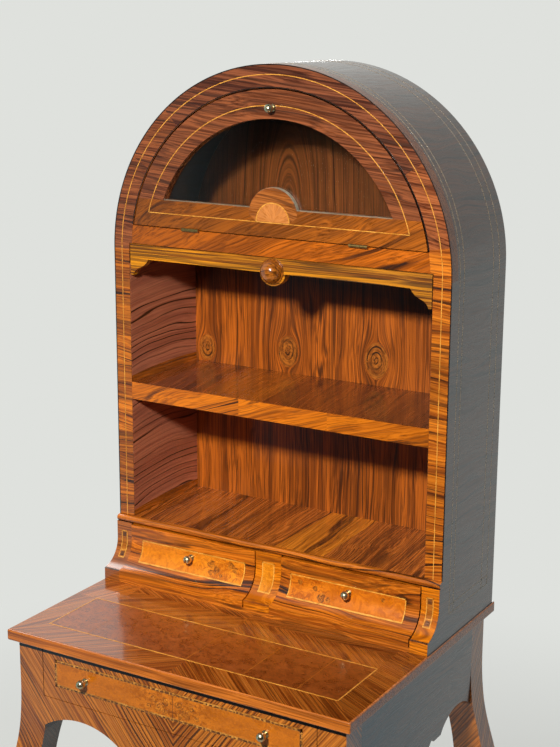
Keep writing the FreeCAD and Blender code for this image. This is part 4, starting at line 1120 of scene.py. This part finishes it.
# %% Floor
FLOOR_SIDES, FLOOR_RINGS = 64, (0.6, 1.5, 4.0, 12.0, 40.0)
floor_turns = [2 * math.pi * k / FLOOR_SIDES for k in range(FLOOR_SIDES)]
floor_points = [(0.0, 0.0, 0.0)]
floor_points += [(r * math.cos(t), r * math.sin(t), 0.0) for r in FLOOR_RINGS for t in floor_turns]
floor_faces = [(0, 1 + k, 1 + (k + 1) % FLOOR_SIDES) for k in range(FLOOR_SIDES)]
for first in range(1, 1 + FLOOR_SIDES * (len(FLOOR_RINGS) - 1), FLOOR_SIDES):
    for k in range(FLOOR_SIDES):
        a, b = first + k, first + (k + 1) % FLOOR_SIDES
        floor_faces.append((a, a + FLOOR_SIDES, b + FLOOR_SIDES, b))
floor_mesh = bpy.data.meshes.new("floor")
floor_mesh.from_pydata(floor_points, [], floor_faces)
floor = bpy.data.objects.new("floor", floor_mesh)
bpy.context.scene.collection.objects.link(floor)
print("floor faces:", len(floor_faces))

# %% [markdown]
# The floor keeps the shadow near the desk and fades to an even pale grey further out. Polish and glass
# should mirror that pale room too, but a matt surface should not be lit by it, or every shadow would
# fill up. Light Path tells the two apart. The room is darker in front of the desk, where the camera
# stands, and a cool bright wall beside it is what the case's right side mirrors.

# %% Floor paint
PALE, COOL = "#dfe1dd", "#9cc0d0"


def first_mirror(node, rays):
    """One for a ray that polish or glass sends on, unless it came from a matt surface before."""
    sent = node("Math", rays["Is Glossy Ray"], rays["Is Transmission Ray"], operation="MAXIMUM")
    matt = node("Math", rays["Diffuse Depth"], 0.5, operation="LESS_THAN")
    return node("Math", sent, matt, **TIMES)


def bright_wall(node, way):
    """Near one toward the bright wall beside the desk."""
    slant = node("Math", way["X"], way["Y"], operation="DIVIDE")
    return node("MapRange", slant, 0.62, 0.95, 0.02, 1.0)


# Matt paint, rolled on: pale, with a faint mottle
ground, paint, node = new_finish("studio_floor_matt_paint")
spot = node("TexCoord", out="Object")
mottle = node("TexNoise", spot, Scale=3.0, Detail=3.0)
wire(paint, {"Base Color": node("Mix", mottle, PALE, "#e6e8e4", **BLEND), "Roughness": 0.7})
rays = node("LightPath", out=None)
seen_direct = rays["Is Camera Ray"]
away = node("VectorMath", spot, operation="LENGTH")
faded = node("MapRange", away, 0.6, 2.0, 0.45, 1.0, **SOFT)
way = node("SeparateXYZ", spot, out=None)
behind = node("MapRange", way["Y"], -0.8, 0.9, 0.02, 0.75)
wall = bright_wall(node, way)
mirror = node("Math", behind, wall, operation="MAXIMUM")
not_direct = node("Math", 1.0, seen_direct, operation="SUBTRACT")
hue = node("Mix", node("Math", wall, not_direct, **TIMES), PALE, COOL, **BLEND)
even = node("Emission", Color=hue, Strength=node("Mix", seen_direct, mirror, 1.0))
seen = node("Math", seen_direct, first_mirror(node, rays), operation="MAXIMUM")
mixed = node("MixShader", node("Math", seen, faded, **TIMES), paint.outputs[0], even)
wire(ground.node_tree.nodes["Material Output"], {"Surface": mixed})
floor_mesh.materials.append(ground)
print("floor paint:", ground.name)

# %% [markdown]
# The world tells rays apart in the same way: the camera sees an even pale wall, mirrors see the room, and
# everything else gets only a weak fill, so that the lamps make the shadows. The fill is stronger from
# behind, which keeps the back board readable when the desk is turned round.

# %% World
world = bpy.data.worlds.new("studio")
bpy.context.scene.world = world
world.use_nodes = True
node = partial(add, world.node_tree)
way = node("SeparateXYZ", node("TexCoord", out="Generated"), out=None)
fill = world.node_tree.nodes["Background"]
rear = node("MapRange", way["Y"], 0.0, 0.5, 0.012, 0.14)
wire(fill, {"Color": "#f4f6fa", "Strength": rear})
behind = node("MapRange", way["Y"], -0.1, 0.5, 0.02, 1.0)
right_dim = node("MapRange", way["X"], -0.4, 0.1, 1.0, 0.68)
wall = bright_wall(node, way)
dim = node("Math", node("Math", behind, right_dim, **TIMES), wall, operation="MAXIMUM")
room = node("Background", Color=node("Mix", wall, PALE, COOL, **BLEND), Strength=dim)
rays = node("LightPath", out=None)
inside = node("MixShader", first_mirror(node, rays), fill.outputs[0], room)
backdrop = node("Background", Color=PALE, Strength=1.0)
sky = node("MixShader", rays["Is Camera Ray"], inside, backdrop)
wire(world.node_tree.nodes["World Output"], {"Surface": sky})
print("world:", world.name)

# %% [markdown]
# Three soft lamps light the desk. The first stands in front, a little to the right and above, and makes
# the shadows under the slide and in the arch as in the photograph. A weaker one at the left and one
# behind keep the far sides from going black. Each is a disc, so that its shadows have soft edges.

# %% Lamps
# Name, width in metres, watts, place and the point it looks at
LAMPS = [("front_lamp", 0.16, 27.3, (0.345, -1.577, 2.015), (0.0, 0.0, 0.85)),
         ("left_lamp", 0.8, 7.5, (-1.7, 0.5, 2.2), (-0.2, 0.1, 0.9)),
         ("back_lamp", 0.8, 14.0, (-0.9, 2.1, 1.3), (0.0, 0.2, 1.0))]
WARM_WHITE, BEAM = (1.0, 0.98, 0.95), math.radians(130)
for name, wide, watts, place, target in LAMPS:
    lamp = bpy.data.lights.new(name, "AREA")
    lamp.shape, lamp.size, lamp.energy, lamp.spread, lamp.color = "DISK", wide, watts, BEAM, WARM_WHITE
    lamp_stand = bpy.data.objects.new(name, lamp)
    lamp_stand.location = place
    lamp_stand.rotation_euler = (Vector(target) - lamp_stand.location).to_track_quat("-Z", "Y").to_euler()
    bpy.context.scene.collection.objects.link(lamp_stand)
print("lamps set:", len(LAMPS))
